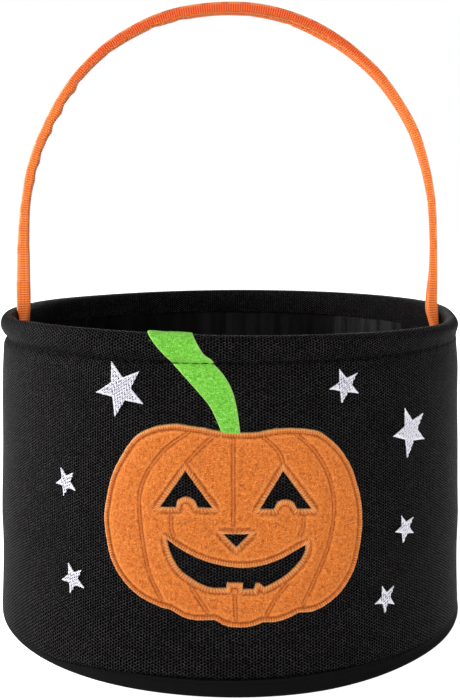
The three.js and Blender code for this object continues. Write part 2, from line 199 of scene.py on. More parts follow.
class Paint:
    """A material of nodes round one Principled shader."""

    def __init__(self, name, **values):
        self.material = bpy.data.materials.new(name)
        self.material.use_nodes = True
        self.tree = self.material.node_tree
        self.shader = self.tree.nodes["Principled BSDF"]
        names = {
            "rough": "Roughness", "shine": "Specular IOR Level", "sheen": "Sheen Weight",
            "sheen_rough": "Sheen Roughness", "sheen_tint": "Sheen Tint",
        }
        for key, value in values.items():
            self.put(self.shader.inputs[names[key]], value)

    def put(self, socket, value):
        """Links a socket to another, or gives it a value of its own."""
        if isinstance(value, bpy.types.NodeSocket):
            self.tree.links.new(value, socket)
        else:
            socket.default_value = value

    def node(self, kind, inputs=None, **settings):
        made = self.tree.nodes.new("ShaderNode" + kind)
        for key, value in settings.items():
            setattr(made, key, value)
        for key, value in (inputs or {}).items():
            self.put(made.inputs[key], value)
        return made

    def math(self, operation, *values):
        return self.node("Math", dict(enumerate(values)), operation=operation).outputs[0]

    def plus(self, first, second):
        return self.math("ADD", first, second)

    def times(self, first, second):
        return self.math("MULTIPLY", first, second)

    def times_plus(self, first, second, third):
        return self.math("MULTIPLY_ADD", first, second, third)

    def wave(self, value, turns=1.0):
        """Cosine of a value that repeats at whole numbers."""
        return self.math("COSINE", self.times(value, turns * 2 * math.pi))

    def mix(self, share, first, second):
        """The first colour where the share is 0, and the second where it is 1."""
        made = self.node("Mix", {0: share, 6: first, 7: second}, data_type="RGBA")
        return made.outputs[2]

    def ramp(self, value, low, high, first=0.0, last=1.0):
        """From first to last, smoothly, as a value goes from low to high."""
        ends = {"Value": value, "From Min": low, "From Max": high, "To Min": first, "To Max": last}
        return self.node("MapRange", ends, interpolation_type="SMOOTHSTEP").outputs[0]

    def body_place(self, scale=(1, 1, 1)):
        """Place in the piece's own frame, in millimetres, times a scale for each direction."""
        where = self.node("TexCoord").outputs["Object"]
        factor = tuple(1000 * part for part in scale)
        return self.node("VectorMath", {0: where, 1: factor}, operation="MULTIPLY").outputs[0]

    def map_place(self, name):
        """The two coordinates of a map of the mesh."""
        split = self.node("SeparateXYZ", {0: self.node("UVMap", uv_map=name).outputs[0]})
        return split.outputs[0], split.outputs[1]

    def vector(self, x, y):
        return self.node("CombineXYZ", {0: x, 1: y}).outputs[0]

    def noise(self, where, scale, detail=3.0, rough=0.55, twist=0.0):
        """Noise whose blotches are about 1 / scale across."""
        inputs = {"Vector": where, "Scale": scale, "Detail": detail, "Roughness": rough}
        return self.node("TexNoise", {**inputs, "Distortion": twist}).outputs[0]

    def value(self, name):
        """A number that the mesh keeps at each of its points."""
        return self.node("Attribute", attribute_name=name).outputs["Fac"]

    def bump(self, height, depth):
        """Relief of a height from 0 to 1 over a depth in millimetres."""
        inputs = {"Height": height, "Distance": depth * MM, "Strength": 1.0}
        self.put(self.shader.inputs["Normal"], self.node("Bump", inputs).outputs[0])

    def color(self, value):
        self.put(self.shader.inputs["Base Color"], value)

    def rough(self, value):
        self.put(self.shader.inputs["Roughness"], value)


def woven(paint, u, v, groove_shade=0.0):
    """Bird's-eye weave: holes in columns, each column half a step from the next, painted black in the
    holes as shade, with a painted highlight on raised threads in random patches. The last argument
    paints the weave black as shade where it is 1.
    """
    # Black is painted shade in the holes; the third colour is a painted highlight on raised threads.
    dark, light, painted_highlight = tint(0, 0, 0), tint(24, 23, 24), tint(64, 61, 62)
    where = paint.body_place()
    sway = paint.noise(where, 0.35, 2.0)
    fuzz = paint.noise(where, 1.7, 3.0, 0.7)
    u = paint.plus(u, paint.times(paint.math("SUBTRACT", sway, 0.5), 0.3))
    v = paint.plus(v, paint.times(paint.math("SUBTRACT", fuzz, 0.5), 0.35))
    crossing = paint.times(paint.wave(u), paint.wave(v))
    columns = paint.wave(u, 2)
    holes = paint.math("DIVIDE", paint.times_plus(crossing, 2.0, columns), 3.0)
    height = paint.ramp(paint.times_plus(fuzz, -0.4, holes), 0.05, -0.62)
    patches = paint.ramp(paint.noise(where, 0.09, 4.0), 0.35, 0.7)
    threads = paint.mix(paint.ramp(fuzz, 0.4, 0.62), light, painted_highlight)
    threads = paint.mix(paint.times(patches, 0.25), threads, dark)
    # painted shade: where the groove value is 1 the raised threads drop away and the weave is painted
    # black
    raised = paint.times(paint.math("POWER", height, 3.4), paint.math("SUBTRACT", 1.0, groove_shade))
    # painted shade: black wherever the threads sink into the holes
    paint.color(paint.mix(raised, dark, threads))
    paint.rough(paint.ramp(height, 0.0, 1.0, 0.95, 0.45))
    paint.bump(height, 1.3)
    return paint.material


def side_cloth_paint():
    """The weave laid round the wall, painted black as shade in the groove of the hem's stitches."""
    paint = Paint("bird_eye_cloth", shine=0.02)
    u, v = paint.map_place("weave")
    return woven(paint, u, v, paint.value("groove"))


def base_cloth_paint():
    """The same weave laid flat."""
    paint = Paint("base_cloth", shine=0.02)
    split = paint.node("SeparateXYZ", {0: paint.body_place((1 / 2.56, 1 / 1.25, 1))})
    return woven(paint, split.outputs[0], split.outputs[1])


def lining_paint():
    """Dark satin with a fine steep twill, and soft creases with painted highlight and shade along them.
    """
    paint = Paint("satin_lining", shine=0.09)
    where = paint.body_place()
    split = paint.node("SeparateXYZ", {0: where})
    across = paint.plus(split.outputs[0], paint.times(split.outputs[1], 1.3))
    twill = paint.wave(paint.times_plus(split.outputs[2], 1.6, across))
    fine = paint.noise(where, 2.4, 3.0)
    creases = paint.noise(paint.body_place((0.5, 0.5, 0.08)), 0.22, 4.0, 0.6, 0.6)
    # painted highlight and shade: the colour follows the long streaks of the creases as well as the
    # twill
    shade = paint.times_plus(twill, 0.16, creases)
    paint.color(paint.mix(paint.ramp(shade, 0.3, 0.75), tint(2, 2, 2), tint(19, 18, 18)))
    paint.rough(paint.ramp(creases, 0.3, 0.7, 0.26, 0.42))
    height = paint.times_plus(twill, 0.06, paint.times_plus(fine, 0.12, creases))
    paint.bump(height, 0.9)
    return paint.material


def tape_paint():
    """Smooth black tape with a close diagonal twill."""
    paint = Paint("seam_tape", shine=0.03)
    u, v = paint.map_place("tape")
    twill = paint.wave(paint.plus(u, v), 1.6)
    grain = paint.noise(paint.body_place(), 1.7, 4.0, 0.65)
    edge = paint.ramp(v, 4.6, 6.4)
    cloth = paint.mix(paint.ramp(grain, 0.35, 0.7), tint(4, 4, 4), tint(14, 14, 14))
    paint.color(paint.mix(paint.times(edge, 0.5), cloth, tint(22, 21, 22)))
    paint.rough(paint.ramp(grain, 0.3, 0.7, 0.5, 0.72))
    paint.bump(paint.times_plus(twill, 0.3, grain), 0.18)
    return paint.material


def felt_paint(name, deep, plain, bright, lit):
    """Pressed fibres: a mottle of matted clumps under fine crossing hairs, with painted shade at the
    seams' needle holes and a painted highlight on the rims beside the seams.
    """
    paint = Paint(name, shine=0.12, sheen=0.35, sheen_rough=0.7, sheen_tint=lit)
    where = paint.body_place()
    clumps = paint.noise(where, 0.85, 6.0, 0.75, 0.4)
    hairs = [
        paint.noise(paint.body_place(stretch), 1.0, 3.0, 0.6, 1.2)
        for stretch in ((2.6, 2.6, 0.8), (0.7, 0.7, 2.7))
    ]
    hair = paint.math("MAXIMUM", *hairs)
    shade = paint.mix(paint.ramp(clumps, 0.37, 0.58), deep, plain)
    shade = paint.mix(paint.times(paint.ramp(hair, 0.53, 0.68), 0.85), shade, bright)
    uneven = paint.ramp(paint.noise(where, 1.05, 2.0), 0.36, 0.54)
    # painted shade: the felt darkens in uneven spots at the needle holes along the seams
    holes = paint.times(paint.value("dark"), uneven)
    # painted highlight on the felt's rims that rise beside the seams
    shade = paint.mix(paint.times(paint.value("pale"), 0.25), shade, lit)
    paint.color(paint.mix(paint.times(holes, 0.8), shade, tint(92, 34, 8)))
    paint.rough(paint.ramp(clumps, 0.3, 0.7, 0.82, 0.95))
    paint.bump(paint.times_plus(hair, 0.8, clumps), 0.42)
    return paint


def stem_paint():
    """Green felt whose cut edges are paler."""
    paint = felt_paint(
        "green_felt", tint(60, 142, 22), tint(102, 188, 48), tint(166, 230, 112), tint(180, 235, 130)
    )
    mottled = paint.shader.inputs["Base Color"].links[0].from_socket
    share = paint.times(paint.value("edge"), 0.8)
    paint.color(paint.mix(share, mottled, tint(172, 226, 126)))
    return paint.material


def thread_paint(name, deep, bright, hole, shine, rough):
    """Plied thread: strokes differ in tone at random and by painted highlight and shade, with a fine
    twist along each and painted shade where they dive.
    """
    paint = Paint(name, shine=shine, sheen=0.15, sheen_rough=0.35, sheen_tint=bright)
    u, v = paint.map_place("thread")
    ply = paint.wave(paint.plus(paint.times(u, 1.4), v))
    grain = paint.noise(paint.body_place(), 1.3, 3.0)
    tone = paint.times_plus(paint.value("tone"), 0.6, paint.times(grain, 0.4))
    cloth = paint.mix(paint.ramp(tone, 0.1, 1.1), deep, bright)
    # painted shade: the last colour where the tone falls lowest, where the threads dive
    paint.color(paint.mix(paint.times(paint.ramp(tone, 0.1, -0.25), 0.85), cloth, hole))
    paint.rough(paint.ramp(grain, 0.3, 0.7, rough, rough + 0.15))
    paint.bump(ply, 0.05)
    return paint.material


def ribbon_paint():
    """Ribbed ribbon: the ribs are in the mesh, and the fine warp between two paler edges is here, the
    edges partly selvage and partly painted highlight; painted shade lies in the rib valleys, along the
    fold and at the arch's top, and painted light on the underside.
    """
    glow = tint(255, 180, 110)
    paint = Paint("ribbed_ribbon", shine=0.2, sheen=0.15, sheen_rough=0.4, sheen_tint=glow)
    u, v = paint.map_place("strap")
    grain = paint.noise(paint.vector(paint.times(u, 0.35), v), 1.2, 4.0, 0.6)
    fine = paint.noise(paint.vector(u, paint.times(v, 3.0)), 2.6, 3.0, 0.6)
    rib = paint.value("rib")
    warp = paint.times_plus(paint.wave(v, 1 / 1.05), 0.5, 0.5)
    # the warp threads show between the ribs, with painted shade in the valleys
    warp_and_valley_shade = paint.times(warp, paint.ramp(rib, 0.7, 0.05))
    # painted shade: darker in the valleys between the ribs
    cloth = paint.mix(paint.ramp(rib, 0.05, 0.95), tint(238, 88, 26), tint(255, 139, 58))
    redder = paint.mix(paint.ramp(rib, 0.05, 0.95), tint(170, 40, 10), tint(236, 88, 38))
    for share, strength, shade in (
        (paint.ramp(fine, 0.35, 0.75), 0.4, tint(255, 163, 92)),
        (paint.ramp(grain, 0.4, 0.75), 0.3, tint(226, 98, 36)),
        (warp_and_valley_shade, 0.7, tint(150, 42, 8)),
        # painted shade: redder and darker at the top of the arch
        (paint.value("deep"), 0.8, redder),
        # painted light: the shaded underside of the arch is painted brighter
        (paint.value("under"), 0.6, tint(255, 120, 50)),
        # paler selvages at the lower ends, and a painted highlight along the edges of the outer face
        (paint.value("selvage_and_highlight"), 0.6, tint(255, 190, 130)),
        # painted shade along the fold and along the closing seam
        (paint.value("fold"), 0.75, tint(120, 38, 8)),
    ):
        cloth = paint.mix(paint.times(share, strength), cloth, shade)
    paint.color(cloth)
    paint.rough(paint.ramp(fine, 0.3, 0.7, 0.5, 0.72))
    paint.bump(fine, 0.12)
    return paint.material


def foam_paint():
    """Open cells of grey foam, with painted shade in the cells."""
    paint = Paint("stiffening_foam", rough=0.9, shine=0.2)
    cells = paint.node("TexVoronoi", {"Vector": paint.body_place(), "Scale": 1.6}).outputs[0]
    cloud = paint.noise(paint.body_place(), 0.12, 3.0)
    shade = paint.mix(paint.ramp(cloud, 0.35, 0.65), tint(54, 54, 56), tint(70, 70, 72))
    # painted shade: darker at the middle of each cell
    paint.color(paint.mix(paint.ramp(cells, 0.1, 0.5), tint(30, 30, 31), shade))
    paint.bump(cells, 0.3)
    return paint.material


def board_paint():
    """Grey board with pressed fibres."""
    paint = Paint("grey_board", shine=0.3)
    where = paint.body_place((1, 1, 3))
    fibres = paint.noise(paint.body_place((1.6, 0.3, 1)), 0.9, 4.0, 0.65, 0.8)
    specks = paint.noise(where, 2.2, 2.0)
    paint.color(paint.mix(paint.ramp(fibres, 0.3, 0.7), tint(38, 37, 36), tint(62, 60, 57)))
    paint.rough(paint.ramp(specks, 0.3, 0.7, 0.6, 0.8))
    paint.bump(paint.plus(fibres, specks), 0.12)
    return paint.material


def core_paint():
    """Milky plastic strip with faint drawn lines."""
    paint = Paint("core_strip", shine=0.5)
    lines = paint.noise(paint.body_place((0.2, 4.0, 0.2)), 1.0, 3.0)
    paint.color(paint.mix(lines, tint(202, 199, 190), tint(226, 224, 217)))
    paint.rough(paint.ramp(lines, 0.3, 0.7, 0.3, 0.45))
    paint.bump(lines, 0.05)
    return paint.material


# The material of each slot
PAINTS = {
    "side_cloth": side_cloth_paint(),
    "lining": lining_paint(),
    "binding": tape_paint(),
    "orange_felt": felt_paint(
        "orange_felt", tint(158, 68, 18), tint(207, 109, 38), tint(246, 154, 82), tint(255, 168, 92)
    ).material,
    "green_felt": stem_paint(),
    "orange_thread": thread_paint(
        "orange_thread", tint(200, 98, 26), tint(234, 178, 114), tint(116, 42, 6), shine=0.2, rough=0.55
    ),
    "white_thread": thread_paint(
        "white_thread", tint(216, 213, 229), tint(255, 255, 255), tint(92, 88, 118),
        shine=0.4, rough=0.38
    ),
    "black_thread": thread_paint(
        "black_thread", tint(4, 4, 4), tint(16, 15, 16), tint(1, 1, 1), shine=0.06, rough=0.5
    ),
    "ribbon": ribbon_paint(),
    "foam": foam_paint(),
    "core": core_paint(),
}
BASE_CLOTH = base_cloth_paint()  # the weave again, laid flat, in the slot of the side cloth
BOARD = board_paint()


# Side cloth

# Outer line of the cloth's section as (radius, height, share of the sag that it takes), from the
# base seam up the wall, in at the row of stitches, over the hem and down inside as the facing
FOOT_LINE = [
    (113.4, 1.3, 0), (113.4, 4.5, 0), (113.4, 7.6, 0), (113.8, 8.5, 0), (114.65, 8.5, 0),
    (114.85, 7.9, 1), (115.05, 7.6, 1), (115.25, 8.0, 1), (115.35, 9.2, 1), (115.3, 11.2, 0.92),
    (115.15, 14.5, 0.75), (114.95, 19, 0.5), (114.75, 25, 0.2), (114.6, 32, 0),
]
# How far the wall hangs down over the tape: (angle, drop)
SAG = [
    (-3.15, 2.2), (-2.4, 2.8), (-1.7, 4.6), (-1.2, 5.4), (-0.85, 5.4), (-0.7, 4.9), (-0.55, 2.9),
    (-0.41, 1.7), (-0.2, 0.5), (0.1, 0.1), (0.42, 0.8), (0.78, 2.3), (1.2, 3.1), (1.8, 2.9),
    (2.5, 2.4), (3.15, 2.2),
]
WALL_LINE = [(114.55, 46), (114.5, 60), (114.5, 80), (114.5, 100), (114.5, 118), (114.5, 127)]
HEM_LINE = [
    (114.4, 130.5), (114.0, 132.8), (113.2, 134.4), (112.95, 135.0), (113.2, 135.7), (114.3, 137.0),
    (115.25, 139.0), (115.6, 141.4), (115.3, 143.7), (114.3, 145.5), (112.9, 146.4), (111.6, 146.4),
    (110.2, 145.7), (109.2, 144.2), (108.8, 142.2), (108.8, 138.5), (108.8, 133.0),
]
# How much higher than the plain hem its top lies: (angle, rise)
CREST = [
    (-3.15, 0.1), (-2.44, -0.4), (-2.0, -0.2), (-1.5, -0.5), (-1.12, -0.7), (-0.93, 0.5),
    (-0.57, 0.8), (-0.31, 0.5), (0, -0.15), (0.39, -0.6), (0.61, -1.1), (0.91, -1.7), (1.2, -2.6),
    (1.45, -1.6), (1.7, 0.4), (2.23, 0.5), (3.15, 0.1),
]
AROUND = 576  # points of the side cloth round the bag
WEAVE_TURNS = 281  # pairs of weave columns round the bag
WEAVE_RISE = 1.25  # height of one repeat of the weave
GROOVE_RADIUS = 112.95  # of the cloth's outside at the row of stitches
CREST_RADIUS = 110.6  # the hem's pushes and puckers fade in from here outwards


def wall_swell(angle, height):
    """How far the wall stands out past its plain radius."""
    side = np.sin(angle)
    reach = rising(height, 12, 36) * rising(height, STITCH_ROW - 1, -14)
    high = rising(height, STITCH_ROW + 2, -4) * rising(height, 100, 30) * (1 - reach)
    dents = 0.25 + 0.85 * side**2 + 0.1 * side + wobble(angle, height, 0.35, 5)
    return reach * dents + 0.45 * high * side**2


def foot_sag(angle):
    """How far the wall hangs down over the tape of its lower seam."""
    return read_table(SAG, angle) + 0.2 * np.sin(9 * angle + 0.8)


def hem_push(angle, height):
    """The hem stands out to both sides, where the ends of the handle are sewn inside it."""
    share = sum(bell((angle - side * math.pi / 2) * WALL, 0, 9) for side in (-1, 1))
    wide = 0.65 * np.sin(angle) ** 2 - 0.25 * np.sin(angle)
    return (0.2 * share + wide) * rising(height, STITCH_ROW, 5)


def hem_pucker(angle, height):
    """Small pulls that the row of stitches makes in the cloth on both sides of it."""
    along = angle * WALL
    pulls = np.sin(along * 2 * math.pi / 7.3 + 1.4 * np.sin(along / 11.0)) + 0.6 * np.sin(along / 2.9)
    return 0.1 * bell(height, STITCH_ROW, 4.2) * pulls


def groove_fill(angle, height):
    """The stitches pull in deepest on the left, and hardly at all on the right."""
    right = 0.5 + 0.5 * np.sin(angle)
    return bell(height, STITCH_ROW, 1.9) * (0.2 + 1.3 * right**1.5 - 0.5 * (1 - right))


def crest_rise(angle, height):
    """The hem's top isn't quite level, and hangs lowest at the right of the front."""
    return rising(height, 140, 6) * read_table(CREST, angle)


def cloth_section():
    """The cloth's outer line at close steps: radius, height and share of the sag."""
    foot = spline(FOOT_LINE, 1.0)
    wall = spline([row[:2] for row in (FOOT_LINE[-1][:2], *WALL_LINE)], 2.6)
    hem = spline([WALL_LINE[-1], *HEM_LINE], 0.62)
    plain = np.concatenate([wall[1:], hem[1:]])
    return np.concatenate([foot, np.column_stack([plain, np.zeros(len(plain))])])


def moved_section(section, angle):
    """Radius and height of every point of a section at every angle, as the cloth lies."""
    radius, height, share = (column[:, None] for column in section.T)
    outside = rising(radius, CREST_RADIUS, 2.0)
    sag = foot_sag(angle)[None, :]
    turn = angle[None, :]
    out = wall_swell(turn, height) + 0.03 * share * sag
    hem = hem_push(turn, height) + hem_pucker(turn, height) + groove_fill(turn, height)
    out = out + outside * hem
    return radius + out, height - sag * share + crest_rise(turn, height)


def make_side_cloth():
    """One cloth with an outer and an inner side, from the base seam to the edge of the facing."""
    section = cloth_section()
    angle = np.linspace(-math.pi, math.pi, AROUND, endpoint=False)
    outer_radius, outer_height = moved_section(section, angle)
    inner_line = np.concatenate([
        [(112.4, 1.3), (112.4, 7.6)],
        offset(spline([(114.5, 12), *WALL_LINE, *HEM_LINE], 1.6), CLOTH),
    ])
    inner = np.column_stack([inner_line, np.zeros(len(inner_line))])[::-1]
    inner_radius, inner_height = moved_section(inner, angle)
    points = place(angle[None, :], np.vstack([outer_radius, inner_radius]),
                   np.vstack([outer_height, inner_height]))
    line = np.concatenate([section[:, :2], inner[:, :2]])
    length = along_of(line)
    across = np.append(length, length[-1] + CLOTH) / WEAVE_RISE
    along = np.linspace(0, WEAVE_TURNS, AROUND + 1)
    faces, uv = net(points, True, True, along, across)
    groove = 0.85 * bell(section[:, 1], STITCH_ROW, 0.55) * (section[:, 0] > 111)
    groove = np.repeat(np.concatenate([groove, np.zeros(len(inner))]), AROUND)
    made = piece("side_cloth", points, faces, "side_cloth", ("side_shell",),
                 uv=("weave", uv), values={"groove": groove})


def make_ring(name, section, slot, node, around, shift, uv="ring"):
    """A closed ring from the outline of its section; shift moves each point outwards."""
    angle = np.linspace(-math.pi, math.pi, around, endpoint=False)
    radius, height = (column[:, None] for column in np.asarray(section, float).T)
    out = shift(angle[None, :], height)
    points = place(angle[None, :], radius + out, height + 0 * angle[None, :])
    along = np.linspace(0, 2 * math.pi * WALL, around + 1)
    across = along_of(np.vstack([section, section[:1]]))
    faces, corners = net(points, True, True, along, across)
    return piece(name, points, faces, slot, (node,), uv=(uv, corners))


def make_foam():
    """The stiffener of the wall, with its roll up inside the hem."""
    outer = [
        (112.9, 11), (113.1, 14), (113.1, 60), (113.1, 110), (113.0, 129.5), (112.4, 132.5),
        (111.75, 135), (112.4, 137.6), (113.6, 139.6), (113.7, 141.2), (113.0, 142.4), (111.9, 142.6),
    ]
    inner = [(111.1, 141.8), (111.0, 139), (111.0, 120), (111.0, 60), (111.0, 14), (111.1, 11)]
    section = np.concatenate([spline(outer, 3.0), spline(inner, 6.0)])
    made = make_ring("wall_stiffener", section, "foam", "wall_foam", 240, wall_swell)


def lining_pull(angle, height):
    """Upright puckers of the lining, stronger below the facing that holds it."""
    along = angle * LINING_IN
    folds = (0.5 + 0.5 * np.sin(along / 5.3 + 2.1 * np.sin(along / 19.0))) ** 2
    folds = folds + 0.6 * (0.5 + 0.5 * np.sin(along / 2.7 + 1.7 * np.sin(along / 13.0))) ** 3
    strength = 0.35 + 0.65 * bell(height, 122, 22.0)
    return -0.62 * folds * strength + wobble(angle, height, 0.25, 12) - 0.25


def make_side_lining():
    """The lining of the wall, from the floor up to the facing."""
    high = np.linspace(INSIDE_FLOOR + 0.4, 134.5, 52)
    outer = np.column_stack([np.full_like(high, LINING_IN + 0.5), high])
    inner = np.column_stack([np.full_like(high, LINING_IN), high])[::-1]
    section = np.concatenate([outer, inner])
    made = make_ring("wall_lining", section, "lining", "side_lining", 540, lining_pull)


# How far the foot of the tape is pressed out past its plain line: (angle, distance)
FLARE = [
    (-3.15, -0.1), (-1.8, -0.1), (-1.35, -0.35), (-0.9, -0.3), (-0.5, -0.1), (-0.2, -0.1),
    (0.03, 0.35), (0.29, 1.0), (0.45, 0.8), (0.75, 0.1), (1.05, 0.25), (1.35, 0.0), (1.9, 0.1),
    (3.15, -0.1),
]


def tape_ripple(angle):
    """Small waves of the tape round the foot."""
    return 0.08 * np.sin(angle * WALL / 3.1 + 1.3 * np.sin(angle * 9))


def make_binding():
    """Tape folded up round the lower seam, with its two rows of edges inside and outside."""
    inner = 2 * SEAM_MIDDLE - TAPE_OUT
    outside = [
        (inner, 6.3), (inner - 0.05, 3.5), (inner + 0.1, 1.2), (inner + 0.8, 0.25), (inner + 1.8, 0.0),
        (114.4, 0.0), (115.3, 0.08), (115.75, 0.45), (115.7, 1.2), (115.2, 2.4), (114.85, 3.8),
        (114.6, 5.4), (114.4, 6.4),
    ]
    line = spline(outside, 0.5)
    section = np.concatenate([line, offset(line, TAPE_THICK)[::-1]])

    def shift(angle, height):
        ripple = tape_ripple(angle) * rising(height, 0, 4)
        return ripple + read_table(FLARE, angle) * rising(height, 3.5, -3)

    made = make_ring("seam_tape", section, "binding", "base_binding", 480, shift, "tape")


def make_disc(name, node, radius, low, thickness, relief, slot, material=None):
    """A round sheet whose two sides share one relief."""
    rings = np.linspace(0, 1, 36)[1:] * radius
    angle = np.linspace(0, 2 * math.pi, 144, endpoint=False)
    rows = []
    for side, order in ((0.0, rings), (thickness, rings[::-1])):
        rise = relief(order[:, None] * np.sin(angle), -order[:, None] * np.cos(angle))
        rows.append(place(angle[None, :], order[:, None], low + side + rise))
    points = np.concatenate(rows)
    faces, _ = net(points, False, True)
    centre = float(relief(np.zeros(1), np.zeros(1))[0])
    flat = points.reshape(-1, 3)
    count, last = len(angle), len(flat) - len(angle)
    flat = np.vstack([flat, [0, 0, low + centre], [0, 0, low + thickness + centre]])
    steps = np.arange(count)
    bottom = [(len(flat) - 2, int((i + 1) % count), int(i)) for i in steps]
    top = [(len(flat) - 1, int(last + i), int(last + (i + 1) % count)) for i in steps]
    made = piece(name, flat, faces.tolist() + bottom + top, slot, (node,), material=material)


def floor_relief(x, y):
    """Slack of the lining over the floor."""
    waves = np.sin(x / 11 + 1.6 * np.sin(y / 23)) * np.sin(y / 17 + 0.7) + 0.5 * np.sin((x + y) / 7.3)
    edge = rising(np.hypot(x, y), 108, -25)
    return 0.28 * (1 + waves / 1.5) * edge + 0.06


def base_relief(x, y):
    """The base hangs down a little in its middle."""
    hollow = 1 - (np.hypot(x, y) / 112) ** 2
    return -0.22 * hollow * (1 + 0.3 * np.sin(x / 19) * np.cos(y / 23)) + 0.02


# The picture on the front

def runs(*parts):
    """Smooth lines joined at corners. Each part starts where the last one ends."""
    lines, start = [], None
    for part in parts:
        lines.append(part if start is None else [start, *part])
        start = part[-1]
    return lines


PUMPKIN = runs(
    [(4.5, 107.4), (-3.6, 108.0), (-10.5, 109.2), (-15.6, 109.8), (-22.6, 110.4), (-31.6, 108.7),
     (-39.6, 104.2), (-46, 95.5), (-50.8, 86), (-53.6, 74.3), (-54.1, 68.1), (-52.8, 59.3),
     (-50.5, 51.6), (-45.1, 44.1), (-37.7, 38.5), (-29.2, 35.3), (-24.1, 34.3)],
    [(-19.1, 31.8), (-13.9, 30.8), (-6.2, 31.2)],
    [(-1.9, 28.9), (3.2, 28.2), (8.3, 28.4), (13.5, 30)],
    [(18.7, 29.9), (23.9, 31.1), (28, 32.8)],
    [(34.8, 32.9), (41.4, 35.4), (47.6, 39.7), (52.9, 46.9), (55.5, 54.7), (57.2, 64.8),
     (56.9, 74.6), (54.8, 82.8), (51.7, 91), (45.9, 99.4), (38.5, 105.7), (33, 107.7),
     (24.8, 108.7), (17.8, 108.6), (10.9, 107.5), (4.5, 107.4)],
)
FEATURES = {
    "left_eye": runs(
        [(-18.1, 91.6), (-28.9, 76.1)], [(-21.8, 76.4)],
        [(-21.1, 79.4), (-18.1, 80.9), (-14.6, 79.7), (-13.1, 76.8)], [(-6.9, 76.7)], [(-18.1, 91.6)],
    ),
    "right_eye": runs(
        [(21.6, 91.4), (12, 76.2)], [(17.8, 75.8)],
        [(19.5, 78.7), (22.4, 79.5), (25.7, 78.3), (27.3, 75.4)], [(33.9, 74.9)], [(21.6, 91.4)],
    ),
    "nose": runs([(-2.8, 66.3), (2.5, 60.8)], [(7.9, 66.2)], [(-2.8, 66.3)]),
    "mouth": runs(
        [(-26, 63.3), (-24.4, 57.4), (-20.9, 51.6), (-15.6, 47.7), (-8.8, 44.5), (-1.5, 44.2)],
        [(-1.1, 46.5)], [(5.1, 46.3)], [(5.1, 43.8)], [(9.6, 43.6)],
        [(10.5, 46.2)], [(11.7, 46.1)], [(13.9, 44.3)],
        [(16.9, 45.5), (23.1, 48.9), (28.4, 53.6), (30.9, 57.7), (31.1, 60.5)],
        [(26.6, 58.5), (20.4, 55.5), (11.7, 53.1), (2.3, 52.7), (-8.8, 54.8), (-18.3, 58.6),
         (-26, 63.3)],
    ),
}
CREASES = {
    "middle_crease": [(1.3, 104.6), (1.3, 70)],
    "left_inner_crease": [(-6.2, 106.2), (-10.5, 102.5), (-14.8, 98.1), (-17.6, 94.9)],
    "left_outer_crease": [(-16.5, 107.6), (-26.2, 100.2), (-33.4, 91.1), (-37.2, 82.2),
                          (-37.6, 73.5), (-36.2, 61.5), (-33.4, 48.9), (-28.2, 38.6)],
    "right_inner_crease": [(13.5, 105.3), (17.8, 101.4), (20.4, 97.9), (21.5, 94.6)],
    "right_outer_crease": [(27.1, 106.1), (34.8, 98.8), (40.5, 89.7), (43.3, 79.8), (43.5, 70.2),
                           (40.5, 57.6), (34.8, 45.3), (30.2, 36.3)],
    "chin_left_crease": [(-15.4, 43.8), (-12.2, 38.9), (-9.2, 34.6)],
    "chin_middle_crease": [(1.9, 41.3), (2.3, 31.6)],
    "chin_right_crease": [(23.4, 45.2), (18.7, 39.8), (14.9, 33.4)],
    "left_cheek_crease": [(-24, 72.6), (-24, 67.7), (-22.9, 64.6)],
    "right_cheek_crease": [(30.2, 71.8), (29.8, 67.3), (28.4, 64.0)],
}
STROKE_PITCH = 0.3
STROKE_WAVE = 3.6  # strokes in each swell of a border's painted highlight and shade
CREASE_LINES = {name: spline(line, STROKE_PITCH) for name, line in CREASES.items()}


def closed(lines, step):
    """The points of a closed outline, each once."""
    return np.concatenate([spline(line, step)[:-1] for line in lines])


def turn_of(outline):
    """1 where an outline runs to the left round its inside, and -1 where it runs to the right."""
    x, y = outline.T
    return 1 if np.sum(x * np.roll(y, -1) - np.roll(x, -1) * y) > 0 else -1


def inside(points, outline):
    """Which points lie inside a closed outline."""
    x, y = points[:, :1], points[:, 1:]
    ax, ay = outline.T
    bx, by = np.roll(outline, -1, axis=0).T
    crosses = (ay > y) != (by > y)
    with np.errstate(divide="ignore", invalid="ignore"):
        left = x < (bx - ax) * (y - ay) / (by - ay) + ax
    return np.sum(crosses & left, axis=1) % 2 == 1


FAR = 1e9
BATCH = 2000  # points measured at a time, which keeps the tables small


def distance(points, line, is_closed):
    """Distance of each point to a line, through its closest straight piece."""
    a = line if is_closed else line[:-1]
    b = np.roll(line, -1, axis=0) if is_closed else line[1:]
    way = b - a
    best = np.full(len(points), FAR)
    for start in range(0, len(points), BATCH):
        part = points[start:start + BATCH, None, :]
        squared = np.maximum(np.sum(way * way, axis=1), 1e-9)
        share = np.clip(np.sum((part - a) * way, axis=2) / squared, 0, 1)
        gap = np.linalg.norm(part - a - share[..., None] * way, axis=2)
        best[start:start + BATCH] = gap.min(axis=1)
    return best


def on_wall(flat, lift):
    """Points of the picture raised off the wall."""
    angle, height = flat[..., 0] / WALL, flat[..., 1]
    return place(angle, WALL + wall_swell(angle, height) + lift, height)


